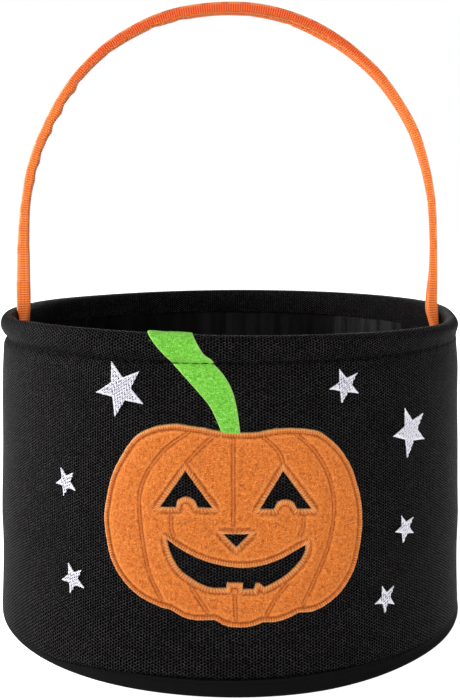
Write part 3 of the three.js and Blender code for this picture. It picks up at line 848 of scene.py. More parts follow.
def edge_strokes(lines, outwards):
    """Start and end of each stroke of a border that follows an outline, with mitred corners."""
    side = turn_of(closed(lines, 1.0)) * (-1 if outwards else 1)
    starts, ends, tangents = [], [], []
    for line in lines:
        fine = spline(line, 0.2)
        tangents.append((unit(fine[1] - fine[0]), unit(fine[-1] - fine[-2])))
    for i, line in enumerate(lines):
        near = spline(line, STROKE_PITCH)
        away = offset(near, side * SATIN_WIDTH)
        run = np.linspace(0, np.sum(np.linalg.norm(np.diff(near, axis=0), axis=1)), len(near))
        reach = min(run[-1], 7.0)
        corners = ((0, tangents[i - 1][1], tangents[i][0]),
                   (-1, tangents[i][1], tangents[(i + 1) % len(lines)][0]))
        for end, before, after in corners:
            middle = unit(np.array([-before[1] - after[1], before[0] + after[0]]))
            normal = np.array([-before[1], before[0]])
            stretch = min(1 / max(float(middle @ normal), 0.3), 1.9)
            mitre = near[end] + side * SATIN_WIDTH * stretch * middle
            gap = run if end == 0 else run[-1] - run
            away = away + (mitre - away[end]) * np.clip(1 - gap / reach, 0, 1)[:, None]
        starts.append(near[:-1])
        ends.append(away[:-1])
    return np.concatenate(starts), np.concatenate(ends)


THREAD_END = 0.5  # how thick a thread's ends are, as a share of its middle


def tubes(name, strokes, radius, slot, nodes=(), sides=5, bodies=("bag",), out=None,
          shade=0.0, vary=1.0):
    """One mesh of many short threads, each a row of points. shade paints highlights or shade onto them:
    above 0 paler, below 0 darker.
    """
    strokes = np.asarray(strokes, float)
    count, rings = strokes.shape[:2]
    way = unit(np.gradient(strokes, axis=1))
    if out is None:
        out = strokes * (1, 1, 0)
    out = np.broadcast_to(unit(out), strokes.shape)
    across = unit(np.cross(way, out))
    up = np.cross(across, way)
    size = np.full(rings, radius)
    size[[0, -1]] = radius * THREAD_END
    turn = np.arange(sides) * 2 * math.pi / sides
    cos, sin = np.cos(turn)[:, None], np.sin(turn)[:, None]
    round_way = cos * across[:, :, None, :] + sin * up[:, :, None, :]
    points = strokes[:, :, None, :] + size[None, :, None, None] * round_way
    ring, side = np.meshgrid(np.arange(rings - 1), np.arange(sides), indexing="ij")
    corners = [(ring, side), (ring, side + 1), (ring + 1, side + 1), (ring + 1, side)]
    one = np.stack([r * sides + s % sides for r, s in corners], axis=-1).reshape(-1, 4)
    base = np.arange(count)[:, None, None] * rings * sides
    faces = (base + one[None]).reshape(-1, 4).tolist()
    first = (base[:, :, 0] + np.arange(sides)[::-1][None]).tolist()
    last = (base[:, :, 0] + (rings - 1) * sides + np.arange(sides)[None]).tolist()
    length = np.sum(np.linalg.norm(np.diff(strokes, axis=1), axis=2), axis=1)
    along = np.stack([r / (rings - 1) for r, s in corners], axis=-1).reshape(-1)
    around = np.stack([s / sides for r, s in corners], axis=-1).reshape(-1)
    u = (length[:, None] * along[None]).ravel()
    uv = np.column_stack([u, np.tile(around, count)])
    cap = np.zeros((2 * count * sides, 2))
    # random tone, plus painted highlight and shade from the shade values
    tone = 0.5 + vary * (draw.random((count, 1)) - 0.5) + np.broadcast_to(shade, (count, rings))
    tone = np.repeat(tone[:, :, None], sides, axis=2)
    piece(name, points, faces + first + last, slot, nodes, bodies,
          uv=("thread", np.vstack([uv, cap])), values={"tone": tone})


def satin(name, node, slot, starts, ends, lifts, shade, radius=0.18, spread=0.08, vary=0.5):
    """Strokes that arch over the cloth from one side of a band to the other."""
    share = np.linspace(0, 1, np.shape(lifts)[-1])[None, :, None]
    jitter = draw.normal(0, spread, (2, len(starts), 1)) * unit(ends - starts)
    first = starts + jitter[0]
    last = ends + jitter[1]
    flat = first[:, None, :] * (1 - share) + last[:, None, :] * share
    lift = np.atleast_2d(lifts) + draw.normal(0, 0.02, (len(starts), 1))
    tubes(name, on_wall(flat, lift), radius, slot, (node,), shade=shade, vary=vary)


FELT_EDGE_INSET = 0.7  # the felt's cut edge lies this far inside the stitched border's
FELT_GAP = 0.08  # from the cloth to the felt's back
SEAM_GAPS = (2.35, 2.8, 3.4)  # rows of points of the felt, by their distance from an outline
EDGE_ROOM = 0.35  # no other point of the felt lies closer to its edges
FEATURE_OUTLINES = {name: closed(lines, 0.5) for name, lines in FEATURES.items()}
PUMPKIN_OUTLINE = closed(PUMPKIN, 0.5)


def felt_lift(points):
    """Height of the felt's face, the painted shade at the needle holes beside the seams, and the
    painted highlight on the rims that rise beside them.
    """
    to_border = distance(points, PUMPKIN_OUTLINE, True)
    for outline in FEATURE_OUTLINES.values():
        to_border = np.minimum(to_border, distance(points, outline, True))
    to_crease = np.full(len(points), FAR)
    for line in CREASE_LINES.values():
        to_crease = np.minimum(to_crease, distance(points, line, False))
    past_border, past_crease = to_border - SATIN_WIDTH, to_crease - CREASE_HALF
    by_border, by_crease = np.maximum(past_border, 0), np.maximum(past_crease, 0)
    border = 0.7 + 0.5 * (1 - np.exp(-by_border / 0.8)) + 0.45 * (1 - np.exp(-by_border / 3.4))
    crease = 0.5 + 0.55 * (1 - np.exp(-by_crease / 0.8)) + 0.6 * (1 - np.exp(-by_crease / 3.0))
    lift = np.minimum(border, crease) - 0.12 * np.exp(-np.abs(border - crease) / 0.15)
    # painted shade at the needle holes beside the borders and creases
    dark = np.maximum(bell(past_border, 0.12, 0.27), bell(past_crease, 0.1, 0.25))
    # painted highlight on the rims beside the borders and creases
    pale = np.maximum(bell(past_border, 1.15, 0.45), 0.7 * bell(past_crease, 0.85, 0.4))
    return lift, dark, pale


def beside(line, gaps, is_closed):
    """Points on both sides of a line, at each of some distances."""
    if is_closed:
        way = unit(np.roll(line, -1, axis=0) - np.roll(line, 1, axis=0))
    else:
        way = unit(np.gradient(line, axis=0))
    normal = np.stack([-way[:, 1], way[:, 0]], axis=-1)
    return np.concatenate([line + gap * normal for gap in gaps])


def felt_points(outer, holes):
    """Points of the felt inside its edges: close rows beside every seam, and an even spread."""
    side = turn_of(PUMPKIN_OUTLINE)
    rows = [beside(closed(PUMPKIN, 0.6), [side * gap for gap in (1.7, *SEAM_GAPS)], True)]
    for lines in FEATURES.values():
        outline = closed(lines, 0.6)
        gaps = [-turn_of(outline) * gap for gap in (1.2, 1.9, *SEAM_GAPS)]
        rows.append(beside(outline, gaps, True))
    for line in CREASE_LINES.values():
        rows.append(beside(line[::2], [-1.7, -1.15, -0.72, -0.3, 0.3, 0.72, 1.15, 1.7], False))
    low, high = outer.min(axis=0), outer.max(axis=0)
    x, y = np.meshgrid(np.arange(low[0], high[0], 0.95), np.arange(low[1], high[1], 0.95))
    spread = np.column_stack([x.ravel(), y.ravel()]) + draw.uniform(-0.2, 0.2, (x.size, 2))
    inner = np.concatenate([*rows, spread])
    keep = inside(inner, outer) & (distance(inner, outer, True) > EDGE_ROOM)
    for hole in holes:
        keep &= ~inside(inner, hole) & (distance(inner, hole, True) > EDGE_ROOM)
    inner = inner[keep]
    _, unique = np.unique(np.round(inner / 0.42).astype(int), axis=0, return_index=True)
    return inner[np.sort(unique)]


def felt_triangles(outer, holes, inner):
    """A flat net of triangles between the felt's edges, all turned the same way."""
    coords, edges = [], []
    for loop in (outer, *holes):
        first = len(coords)
        coords += loop.tolist()
        edges += [(first + i, first + (i + 1) % len(loop)) for i in range(len(loop))]
    coords += inner.tolist()
    verts, _, triangles, *_ = delaunay_2d_cdt(coords, edges, [], 0, 1e-5)
    flat = np.array([tuple(v) for v in verts])
    triangles = np.array(triangles)
    middle = flat[triangles].mean(axis=1)
    keep = inside(middle, outer)
    for hole in holes:
        keep &= ~inside(middle, hole)
    triangles = triangles[keep]
    first, second = triangle_sides(flat, triangles)
    turned = first[:, 0] * second[:, 1] - first[:, 1] * second[:, 0] < 0
    triangles[turned] = triangles[turned][:, ::-1]
    return flat, triangles


def triangle_sides(flat, triangles):
    """Two sides of each triangle, from its first corner."""
    corners = flat[triangles]
    return corners[:, 1] - corners[:, 0], corners[:, 2] - corners[:, 0]


def make_pumpkin_felt():
    """The felt with its relief beside the seams, a back and its cut edges."""
    side = turn_of(PUMPKIN_OUTLINE)
    outer = beside(closed(PUMPKIN, 0.8), [side * FELT_EDGE_INSET], True)
    holes = [closed(lines, 0.7) for lines in FEATURES.values()]
    flat, triangles = felt_triangles(outer, holes, felt_points(outer, holes))
    lift, dark, pale = felt_lift(flat)
    lift = lift + draw.normal(0, 0.02, len(flat))
    used = np.unique(triangles)
    number = np.full(len(flat), -1)
    number[used] = np.arange(len(used))
    flat, lift, dark, pale = flat[used], lift[used], dark[used], pale[used]
    triangles = number[triangles]
    every = np.concatenate([triangles[:, [0, 1]], triangles[:, [1, 2]], triangles[:, [2, 0]]])
    known = {tuple(edge) for edge in every.tolist()}
    rim = [edge for edge in known if edge[::-1] not in known]
    count = len(flat)
    points = np.concatenate([on_wall(flat, lift), on_wall(flat, np.full(count, FELT_GAP))])
    faces = triangles.tolist() + (triangles[:, ::-1] + count).tolist()
    faces += [(b, a, a + count, b + count) for a, b in rim]
    values = {"dark": np.tile(dark, 2), "pale": np.tile(pale, 2)}
    made = piece("pumpkin_applique", points, faces, "orange_felt", ("pumpkin_felt",), values=values)


def swelling(count, shades, swell):
    """Painted highlight and shade of each stroke from end to end, which swells and fades along the
    border.
    """
    return swell * np.sin(np.arange(count) * 2 * math.pi / STROKE_WAVE)[:, None] + np.array(shades)


def make_stitching():
    """Satin stitch round the pumpkin and its features, and along each crease."""
    slot = "orange_thread"
    starts, ends = edge_strokes(PUMPKIN, False)
    # painted highlight at the outer edge, where the thread wraps the felt, and painted shade at the
    # needle holes of the inner end
    shade = swelling(len(starts), [0.85, 0.45, -0.25, -0.4, -0.7], 0.45)
    satin("pumpkin_satin", "pumpkin_border", slot, starts, ends, [0.15, 1.12, 1.22, 1.12, 0.7], shade)
    for name, lines in FEATURES.items():
        starts, ends = edge_strokes(lines, True)
        starts = starts - 0.2 * unit(ends - starts)
        # painted highlight at the edge of the feature's hole, and painted shade at the needle holes of
        # the inner end
        shade = swelling(len(starts), [0.6, 0.2, -0.15, -0.25, -0.7], 0.45)
        lifts = [0.3, 1.15, 1.25, 1.1, 0.68]
        satin(f"{name}_satin", f"{name}_border", slot, starts, ends, lifts, shade)
    for name, line in CREASE_LINES.items():
        starts, ends = offset(line, CREASE_HALF), offset(line, -CREASE_HALF)
        # painted shade at both ends of each crease stroke, where it sinks into the felt
        shade = swelling(len(line), [-1.1, -0.4, -0.3, -0.4, -1.0], 0.12)
        satin(f"{name}_satin", name, slot, starts, ends, [0.45, 0.62, 0.66, 0.62, 0.45], shade)


# Stars: millimetres right of the middle, height, reach of the tips, headings of the tips in degrees
STARS = {
    "upper_left_star": (-46.6, 123.2, 12.0, (42, 110, 191, 258, 333)),
    "upper_right_star": (49.0, 124.6, 7.6, (39, 111, 188, 256, 330)),
    "right_large_star": (85.6, 101.1, 11.5, (35, 110, 183, 257, 334)),
    "left_middle_star": (-75.0, 80.9, 6.6, (46, 118, 195, 257, 334)),
    "right_middle_star": (82.0, 59.6, 6.5, (35, 113, 184, 255, 330)),
    "left_lower_star": (-70.9, 40.2, 7.0, (44, 112, 196, 255, 338)),
    "right_lower_star": (70.3, 31.9, 6.3, (44, 110, 190, 265, 324)),
}
STAR_WAIST = 0.42  # reach of the inner corners over the reach of the tips
STAR_PITCH = 0.35  # from one row of stitches to the next
STAR_STITCH = 2.1  # from one needle hole to the next in a row
STAR_ROOM = 0.9  # no needle hole is closer to an edge
STAR_TIP = 0.25  # a row shorter than this is left out
HOLE_HALF = 0.12  # half the gap between two stitches of a row
STAR_TURN = math.radians(62)  # heading of the rows


def crossings(x, y, level):
    """Where a level line crosses a closed outline, from left to right."""
    found = []
    for a, b, c, d in zip(x, y, np.roll(x, -1), np.roll(y, -1)):
        if (b > level) != (d > level):
            found.append(a + (c - a) * (level - b) / (d - b))
    return sorted(found)


def make_star(name, along, height, reach, tips):
    """Rows of stitches side by side, whose needle holes lie beside the stitches of the next row."""
    turns = np.radians(tips)
    corners = []
    for i, turn in enumerate(turns):
        after = turns[i + 1] if i < len(turns) - 1 else turns[0] + 2 * math.pi
        corners += [(reach, turn), (reach * STAR_WAIST, (turn + after) / 2)]
    outline = np.array([(far * math.cos(way), far * math.sin(way)) for far, way in corners])
    row_way = np.array([math.cos(STAR_TURN), math.sin(STAR_TURN)])
    side_way = np.array([-row_way[1], row_way[0]])
    x, y = outline @ row_way, outline @ side_way
    starts, ends, first, last = [], [], [], []
    levels = np.arange(y.min() + 0.1, y.max(), STAR_PITCH)
    phases = np.resize([0.3, 0.8, 0.55, 1.05], len(levels)) + draw.uniform(-0.14, 0.14, len(levels))
    for phase, level in zip(phases, levels):
        edges = crossings(x, y, level)
        for left, right in zip(edges[::2], edges[1::2]):
            if right - left < STAR_TIP:
                continue
            origin = STAR_STITCH * (math.floor((left + 0.6) / STAR_STITCH) + phase)
            steps = np.arange(origin, right - STAR_ROOM, STAR_STITCH) + draw.uniform(-0.08, 0.08)
            steps = steps[steps > left + STAR_ROOM]
            marks = [left, *steps, right]
            for i, (a, b) in enumerate(zip(marks[:-1], marks[1:])):
                near = a + (0.0 if i == 0 else HOLE_HALF)
                away = b - (0.0 if i == len(marks) - 2 else HOLE_HALF)
                starts.append(near * row_way + level * side_way)
                ends.append(away * row_way + level * side_way)
                first.append(i == 0)
                last.append(i == len(marks) - 2)
    starts, ends = np.array(starts), np.array(ends)
    middle = np.array([along, height])
    lifts = np.tile([0.4, 0.66, 0.72, 0.66, 0.4], (len(starts), 1))
    # painted shade at both ends of each stitch, where it dives into a needle hole; the ends at the
    # star's edges are paler instead
    shade = np.tile([-2.2, 0.0, 0.1, 0.0, -2.2], (len(starts), 1))
    shade[np.array(first), 0] = 0.6
    shade[np.array(last), -1] = 0.6
    satin(f"{name}_stitches", name, "white_thread", starts + middle, ends + middle, lifts, shade,
          radius=0.2, spread=0.03, vary=0.4)


# Stem

# The felt's two edges as the photograph shows them, on the plain wall
STEM_LEFT = [
    (-3.9, 105.9), (-3.9, 108.1), (-6.2, 113.7), (-8.5, 118), (-11.8, 122), (-16, 126.6),
    (-20.9, 131.9), (-24.3, 135.4), (-27.4, 138.6), (-31.3, 142.8), (-35, 147.4),
]
STEM_RIGHT = [
    (4.1, 105.9), (4.1, 107.6), (2.9, 116.3), (1.4, 122.8), (-0.7, 127.5), (-4.1, 132.5),
    (-7.8, 136.3), (-10.3, 138.2), (-12.9, 142.5), (-15.7, 147.9),
]
STEM_FOOT = 105.9  # height of its lower end, under the pumpkin's border
STEM_GAP = 0.12  # from the cloth to the felt's back
STEM_THICK = 1.0
STEM_EDGE = 0.22  # thickness of the felt at its cut edges
STEM_CROSSING = (-25.5, -5.0)  # the row of stitches crosses the stem between these places
STEM_PRESSED = 0.35  # how much thinner the felt is under the row of stitches
# How far the cloth under the stem stands out past the plain wall: (height, distance)
FIBRE_BULGE = [
    (100, 0.3), (128, 0.2), (135, -1.2), (140, 0.9), (142.5, 1.1), (145, 0), (146.6, -2.2),
    (149, -2.2),
]


def reading(radius, height):
    """The height on the plain wall that lies in the same line of sight as a point of the stem."""
    return VIEW_HEIGHT - (VIEW_HEIGHT - height) * (VIEW_BACK - WALL) / (VIEW_BACK - radius)


def stem_rows():
    """The stem row by row up the wall and over the hem: the cloth's outer line, its directions
    outwards, the felt's thickness, places across the felt, and their distances to its edges."""
    line = spline([(114.5, 100), *WALL_LINE[4:], *HEM_LINE[:13]], 0.55)
    first = int(np.argmax(line[:, 1] >= STEM_FOOT))
    crest = int(np.argmax(line[:, 1]))
    line = line[first:crest + 4]
    radius, height = line.T
    normal = unit(np.gradient(line, axis=0))
    normal = np.column_stack([normal[:, 1], -normal[:, 0]])
    thick = STEM_THICK - STEM_PRESSED * bell(height, STITCH_ROW, 1.2) - 0.3 * rising(height, 143, 3)
    seen = reading(radius + thick * normal[:, 0], height + thick * normal[:, 1])
    past = np.arange(len(line)) > crest - first
    seen = np.where(past, seen.max() + 0.3 * np.cumsum(past), seen)
    step = 0.25 * (height < STITCH_ROW) * np.exp(-np.clip(STITCH_ROW - height, 0, None) / 4)
    sides = []
    for edge, shift in ((STEM_LEFT, step), (STEM_RIGHT, 0 * step)):
        x, y = spline(edge, 1.0).T
        sides.append(np.interp(seen, y, x) * (VIEW_BACK - radius) / (VIEW_BACK - WALL) + shift)
    near_left, near_right = [0, 0.012, 0.035, 0.08], [0.92, 0.965, 0.988, 1]
    share = np.concatenate([near_left, np.linspace(0.14, 0.86, 17), near_right])
    across = sides[0][:, None] * (1 - share) + sides[1][:, None] * share
    to_edge = np.minimum(share, 1 - share)[None, :] * (sides[1] - sides[0])[:, None]
    return line, normal, thick, across, to_edge


def make_stem():
    """The stem's felt, laid on the wall and up over the hem, whose edges follow the photograph."""
    line, normal, thick, across, to_edge = stem_rows()
    high = line[:, 1:]
    angle = across / WALL
    bumps = 0.09 * np.sin(across / 1.9 + high / 3.3) + draw.normal(0, 0.022, across.shape)
    edge_round = np.sqrt(np.clip(1 - (1 - np.clip(to_edge / 0.55, 0, 1)) ** 2, 0, 1))
    top = STEM_GAP + STEM_EDGE + (thick[:, None] - STEM_EDGE + bumps) * edge_round
    base_radius = line[:, :1]
    for push in (wall_swell, groove_fill, hem_pucker, hem_push):
        base_radius = base_radius + push(angle, high)
    rise = crest_rise(angle, high)
    layers = [
        place(angle, base_radius + lift * normal[:, :1], high + rise + lift * normal[:, 1:])
        for lift in (top, np.full_like(top, STEM_GAP))
    ]
    rows, columns = across.shape
    points = np.concatenate([layers[0], layers[1][:, ::-1]], axis=1)
    faces, _ = net(points, False, True)
    around = points.shape[1]
    caps = []
    for row, flip in ((0, False), (rows - 1, True)):
        for i in range(columns - 1):
            quad = (row * around + i, row * around + i + 1,
                    row * around + around - 2 - i, row * around + around - 1 - i)
            caps.append(quad[::-1] if flip else quad)
    edge = np.exp(-to_edge / 0.45)
    edge[-3:] = np.maximum(edge[-3:], np.array([0.2, 0.5, 0.9])[:, None])
    # painted shade across the felt in the groove of the hem's stitches
    dark = np.zeros_like(edge) + 0.6 * bell(high, STITCH_ROW, 0.5)
    values = {"edge": edge, "dark": dark}
    values = {key: np.concatenate([value, value[:, ::-1]], axis=1) for key, value in values.items()}
    made = piece("stem_applique", points, faces.tolist() + caps, "green_felt", ("stem_felt",),
                 values=values)


def hem_points(angle, lift):
    """Places in the groove of the hem's stitches, raised off the cloth."""
    return GROOVE_RADIUS + groove_fill(angle, STITCH_ROW) + hem_pucker(angle, STITCH_ROW) + lift


def stitch_row(pitch, length, radius, level, spread):
    """Middle angles of stitches round the bag, and the angles and heights of their points."""
    count = int(2 * math.pi * radius / pitch)
    middle = np.arange(count) * 2 * math.pi / count - math.pi
    angle = middle[:, None] + np.linspace(-0.5, 0.5, 5) * length / radius
    return middle, angle, level + draw.normal(0, spread, (count, 1)) + 0 * angle


def make_hem_stitches():
    """Separate stitches round the hem. Those that cross the stem lie on its felt."""
    middle, angle, height = stitch_row(4.1, 3.3, WALL, STITCH_ROW, 0.1)
    arch = np.array([-0.2, 0.1, 0.16, 0.1, -0.2])
    along = middle * WALL
    crossing = (along > STEM_CROSSING[0]) & (along < STEM_CROSSING[1])
    for name, chosen, lift, node in (
        ("hem_stitches", ~crossing, 0.05, "hem_stitch"),
        ("stem_stitches", crossing, STEM_GAP + STEM_THICK - STEM_PRESSED, "stem_stitch"),
    ):
        strokes = place(angle[chosen], hem_points(angle[chosen], lift + arch), height[chosen])
        tubes(name, strokes, 0.24, "black_thread", (node,))


def make_tape_stitches():
    """A row of stitches near the upper edge of the tape."""
    _, angle, height = stitch_row(3.6, 2.9, TAPE_OUT, 4.6, 0.06)
    arch = np.array([-0.2, 0.12, 0.18, 0.12, -0.2])
    strokes = place(angle, 114.75 + tape_ripple(angle) + arch, height)
    tubes("tape_stitches", strokes, 0.2, "black_thread")


def make_fibres():
    """Loose hairs along the cut edges of the stem, most of them at its top."""
    top_edge = [(-34.8, 146.6), (-29.5, 146.8), (-24.5, 146.8), (-19.5, 146.8), (-16.0, 146.9)]
    spots, lean = [], []
    edges = ((STEM_LEFT, 12, math.pi), (STEM_RIGHT, 12, 0.0), (top_edge, 64, math.pi / 2))
    for edge, count, way in edges:
        line = spline(edge, 0.4)
        spots.append(line[draw.integers(4, len(line), count)])
        lean += [way] * count
    spots = np.concatenate(spots)
    heading = np.array(lean) + draw.normal(0, 0.7, len(spots))
    bend = draw.normal(0, 0.9, len(spots))
    reach = draw.uniform(0.6, 1.7, len(spots))
    share = np.linspace(0, 1, 5)
    turn = heading[:, None] + bend[:, None] * share
    steps = np.stack([np.cos(turn), np.sin(turn)], axis=-1)
    flat = spots[:, None, :] + reach[:, None, None] * share[None, :, None] * steps
    heights, bulges = np.array(FIBRE_BULGE).T
    lift = 0.9 + draw.uniform(0, 0.6, (len(spots), 1)) * share
    radius = WALL + np.interp(flat[..., 1], heights, bulges) + lift
    points = place(flat[..., 0] / WALL, radius, flat[..., 1])
    tubes("stem_fibres", points, 0.032, "green_felt", sides=3)


# Handle

BENDING = ("bag", "handle")  # the two bodies that each of the handle's pieces is given
RIB_PITCH = 1.22  # from one rib of the ribbon to the next
RIBBON_STEP = 0.3  # between rows of points along the ribbon
RIBBON_THICK = 1.0  # of the tube round its bore
RIBBON_EDGE = 4.0  # from the ribbon's middle to where its selvages lie
# Middle line of the strap: (across, height, depth in the arch's plane, width front to back, twist)
STRAP = [
    (-LEG, 133.1, 2.5, 12.6, 0), (-107.0, 137, 2.8, 12.6, -3), (-107.2, 141, 4.4, 12.0, -6),
    (-107.4, 146, 6.0, 10.6, -9), (-107.5, 152, 6.7, 9.4, -10), (-107.6, 161, 6.5, 9.0, -10),
    (-107.6, 172, 6.0, 9.0, -9), (-107.5, 183, 5.3, 9.0, -8), (-106.2, 202.6, 4.5, 9.0, -7),
    (-101.9, 223.4, 4.4, 9.0, -6), (-93.4, 244.0, 4.2, 9.0, -5), (-80.8, 264.7, 4.0, 9.0, -2),
    (-64.8, 281.0, 4.2, 9.0, 0), (-46.4, 292.4, 4.8, 9.0, 2), (-31.0, 298.3, 5.1, 9.0, 3),
    (-15.4, 301.3, 5.1, 9.0, 4), (0.3, 302.3, 4.9, 9.0, 5), (15.9, 301.1, 4.8, 9.0, 7),
    (31.5, 297.2, 4.7, 9.0, 11), (47.2, 290.2, 4.4, 9.0, 15), (62.9, 280.0, 4.1, 9.0, 11),
    (78.8, 265.0, 3.8, 9.0, 5), (93.2, 243.2, 3.8, 9.0, 1), (100.6, 223.4, 4.0, 9.0, -4),
    (104.8, 202.6, 3.9, 9.0, -9), (105.9, 181.7, 3.7, 9.0, -12), (105.8, 166, 4.0, 9.0, -10),
    (105.2, 157, 4.4, 9.0, -6), (104.9, 150, 4.9, 9.4, -4), (105.1, 145, 4.9, 10.8, -3),
    (105.7, 141, 3.8, 12.0, -2), (106.5, 137, 2.8, 12.6, 0), (LEG, 133.1, 2.5, 12.6, 0),
]
# Puckers on the inside of the arch: (place along the strap, how far in the ribbon is drawn)
PUCKERS = [
    (80, -0.3), (85, 0.25), (90.5, -0.4), (96, 0.3), (107.5, -0.65), (112, 0.4), (119, -0.65),
    (124, 0.4), (133, -0.75), (138, 0.4), (161, 0.3), (188, 0.5), (203, 0.45), (240, 0.25),
    (262, 0.3), (352, 0.15), (388, 0.3),
]


def strap_frame(step):
    """Middle points of the strap with their directions outwards and towards the back, and its sizes."""
    rows = spline(STRAP, step)
    middle = np.column_stack([rows[:, 0], np.zeros(len(rows)), rows[:, 1]])
    way = unit(np.gradient(middle, axis=0))
    outwards = np.column_stack([-way[:, 2], np.zeros(len(rows)), way[:, 0]])
    back = np.broadcast_to([0.0, 1.0, 0.0], outwards.shape)
    twist = np.radians(rows[:, 4])[:, None]
    turned_out = outwards * np.cos(twist) + back * np.sin(twist)
    turned_back = back * np.cos(twist) - outwards * np.sin(twist)
    return middle, turned_out, turned_back, rows[:, 2], rows[:, 3]


def strap_section(per_side):
    """Points round a rounded rectangle: two corner points and the share of the way between them."""
    parts = []
    for x_side, y_side, start in ((1, 1, 0), (-1, 1, 90), (-1, -1, 180), (1, -1, 270)):
        for turn in np.radians(np.linspace(start, start + 90, 5)):
            parts.append((x_side, y_side, math.cos(turn), math.sin(turn)))
    filled = []
    for i, part in enumerate(parts):
        filled.append((part, part, 0.0))
        following = parts[(i + 1) % len(parts)]
        if i % 5 == 4:
            filled += [(part, following, k / per_side) for k in range(1, per_side)]
    return filled


def swept(inset, corner, step, per_side):
    """Rings of points along the strap, with each point's own direction away from its middle."""
    middle, out, back, depth, width = strap_frame(step)
    rings, ways = [], []
    for first, second, share in strap_section(per_side):
        spots, headings = [], []
        for x_side, y_side, cos, sin in (first, second):
            x = y_side * (depth / 2 - inset[0] - corner) + corner * sin
            y = x_side * (width / 2 - inset[1] - corner) + corner * cos
            spots.append(x[:, None] * out + y[:, None] * back)
            headings.append(sin * out + cos * back)
        rings.append(middle + spots[0] * (1 - share) + spots[1] * share)
        ways.append(unit(headings[0] * (1 - share) + headings[1] * share))
    return np.stack(rings, axis=1), np.stack(ways, axis=1), middle, out, back


def capped(points, inward=False):
    """Faces of a tube of rings, closed at both ends."""
    rows, columns = points.shape[:2]
    faces, _ = net(points, False, True)
    faces = faces.tolist()
    first = list(range(columns))[::-1]
    last = [(rows - 1) * columns + i for i in range(columns)]
    faces += [first, last]
    return [face[::-1] for face in faces] if inward else faces


def ribbon_relief(length, across, height, level):
    """How far each point of the ribbon stands out, and the values that its paint reads."""
    inner_face = rising(height, 0, -1.2)
    beneath = inner_face * rising(np.abs(across), 4.3, -0.4)
    along = length[:, None] / length[-1]
    near_edge = bell(np.abs(across), RIBBON_EDGE, 0.5)
    ends = rising(along, 0.18, -0.18) + rising(along, 0.9, 0.1)
    # real selvages at the lower ends, and a painted highlight along both edges of the arch's outer face
    selvage_and_highlight = near_edge * (height > 1.0) + ends * near_edge * (height < -1.0)
    rib = 0.5 + 0.5 * np.cos((length[:, None] + 0.1 * across) * 2 * math.pi / RIB_PITCH)
    rib = rib**0.7
    slow = 0.16 * np.sin(length / 17.0 + 0.5) + 0.1 * np.sin(length / 6.1)
    drawn_in = sum(depth * bell(length, spot, 2.3) for spot, depth in PUCKERS)
    seam = 0.3 * inner_face * bell(across, 0, 0.5)
    upper = rising(along, 0.47, 0.03) * rising(along, 0.66, -0.03)
    fold = (0.1 + 0.9 * upper) * inner_face * bell(across, -3.6, 0.35)
    out_by = 0.17 * rib * (1 - 0.75 * selvage_and_highlight) + slow[:, None] * 0.5 - drawn_in[:, None] * inner_face
    out_by = out_by + 0.14 * selvage_and_highlight - seam - 0.16 * fold
    broken = 0.4 + 0.6 * (np.sin(length / 2.3 + 2 * np.sin(length / 9.0)) > -0.4)
    return out_by, {
        "rib": rib * (1 - 0.6 * selvage_and_highlight),
        "selvage_and_highlight": selvage_and_highlight * broken[:, None],
        # painted shade along the fold and the closing seam of the inner face
        "fold": np.clip(0.7 * fold + 0.5 * inner_face * bell(across, 0, 0.35), 0, 1),
        # painted shade at the top of the arch, away from the underside
        "deep": rising(level, 250, 30) * (1 - beneath),
        # painted light on the underside near the top of the arch
        "under": rising(level, 235, 30) * beneath,
    }


def make_handle():
    """The ribbon sewn into a tube with its bore, the strip inside it, and its closing seam."""
    points, ways, middle, out, back = swept((0, 0), 1.15, RIBBON_STEP, 6)
    length = along_of(middle)
    away = points - middle[:, None, :]
    across = np.einsum("rcx,rx->rc", away, back)
    height = np.einsum("rcx,rx->rc", away, out)
    out_by, values = ribbon_relief(length, across, height, middle[:, 2:])
    points = points + ways * out_by[..., None]
    rows, columns = points.shape[:2]
    around = along_of(points[rows // 2])
    around = np.append(around, around[-1] + 0.6)
    _, uv = net(points, False, True, around, length)
    bore, _, bore_middle, _, _ = swept((RIBBON_THICK, RIBBON_THICK), 0.1, 4.0, 2)
    bore = bore[bore_middle[:, 2] > BEND_TOP - 6]
    bore_faces = capped(bore, inward=True)
    shift = rows * columns
    faces = capped(points) + [[i + shift for i in face] for face in bore_faces]
    spare = 2 * columns + sum(len(face) for face in bore_faces)
    flat = np.concatenate([points.reshape(-1, 3), bore.reshape(-1, 3)])
    blank = np.zeros(bore.shape[0] * bore.shape[1])
    values = {key: np.concatenate([value.ravel(), blank]) for key, value in values.items()}
    nodes = ("handle_sleeve", "left_handle_tab", "right_handle_tab")
    made = piece("handle_ribbon", flat, faces, "ribbon", nodes, BENDING,
                 uv=("strap", np.vstack([uv[:, ::-1], np.zeros((spare, 2))])), values=values)

    core, *_ = swept((1.25, 1.35), 0.1, 4.0, 2)
    core = core[core[:, :, 2].min(axis=1) > HINGE + 2.0]
    piece("core_strip", core, capped(core), "core", ("handle_core",), BENDING)
    make_handle_stitches(length, middle, out)


def make_handle_stitches(length, middle, out):
    """The closing seam on the inside of the arch, one stitch after another."""
    pitch, reach = 3.4, 2.6
    spots = np.arange(24.0, length[-1] - 24.0, pitch)
    share = np.linspace(-0.5, 0.5, 5)
    arch = np.array([0.35, 0.02, -0.06, 0.02, 0.35])
    where = spots[:, None] + share * reach

    def at(values):
        """Rows of directions or places read at each point of the stitches."""
        return np.stack([np.interp(where, length, values[:, i]) for i in range(3)], axis=-1)

    depth = np.interp(where, length, strap_frame(RIBBON_STEP)[3]) / 2
    out_way = at(out)
    strokes = at(middle) + out_way * (-(depth - 0.2) + arch)[..., None]
    tubes("handle_stitches", strokes, 0.2, "orange_thread", ("handle_seam",), bodies=BENDING,
          out=-out_way)


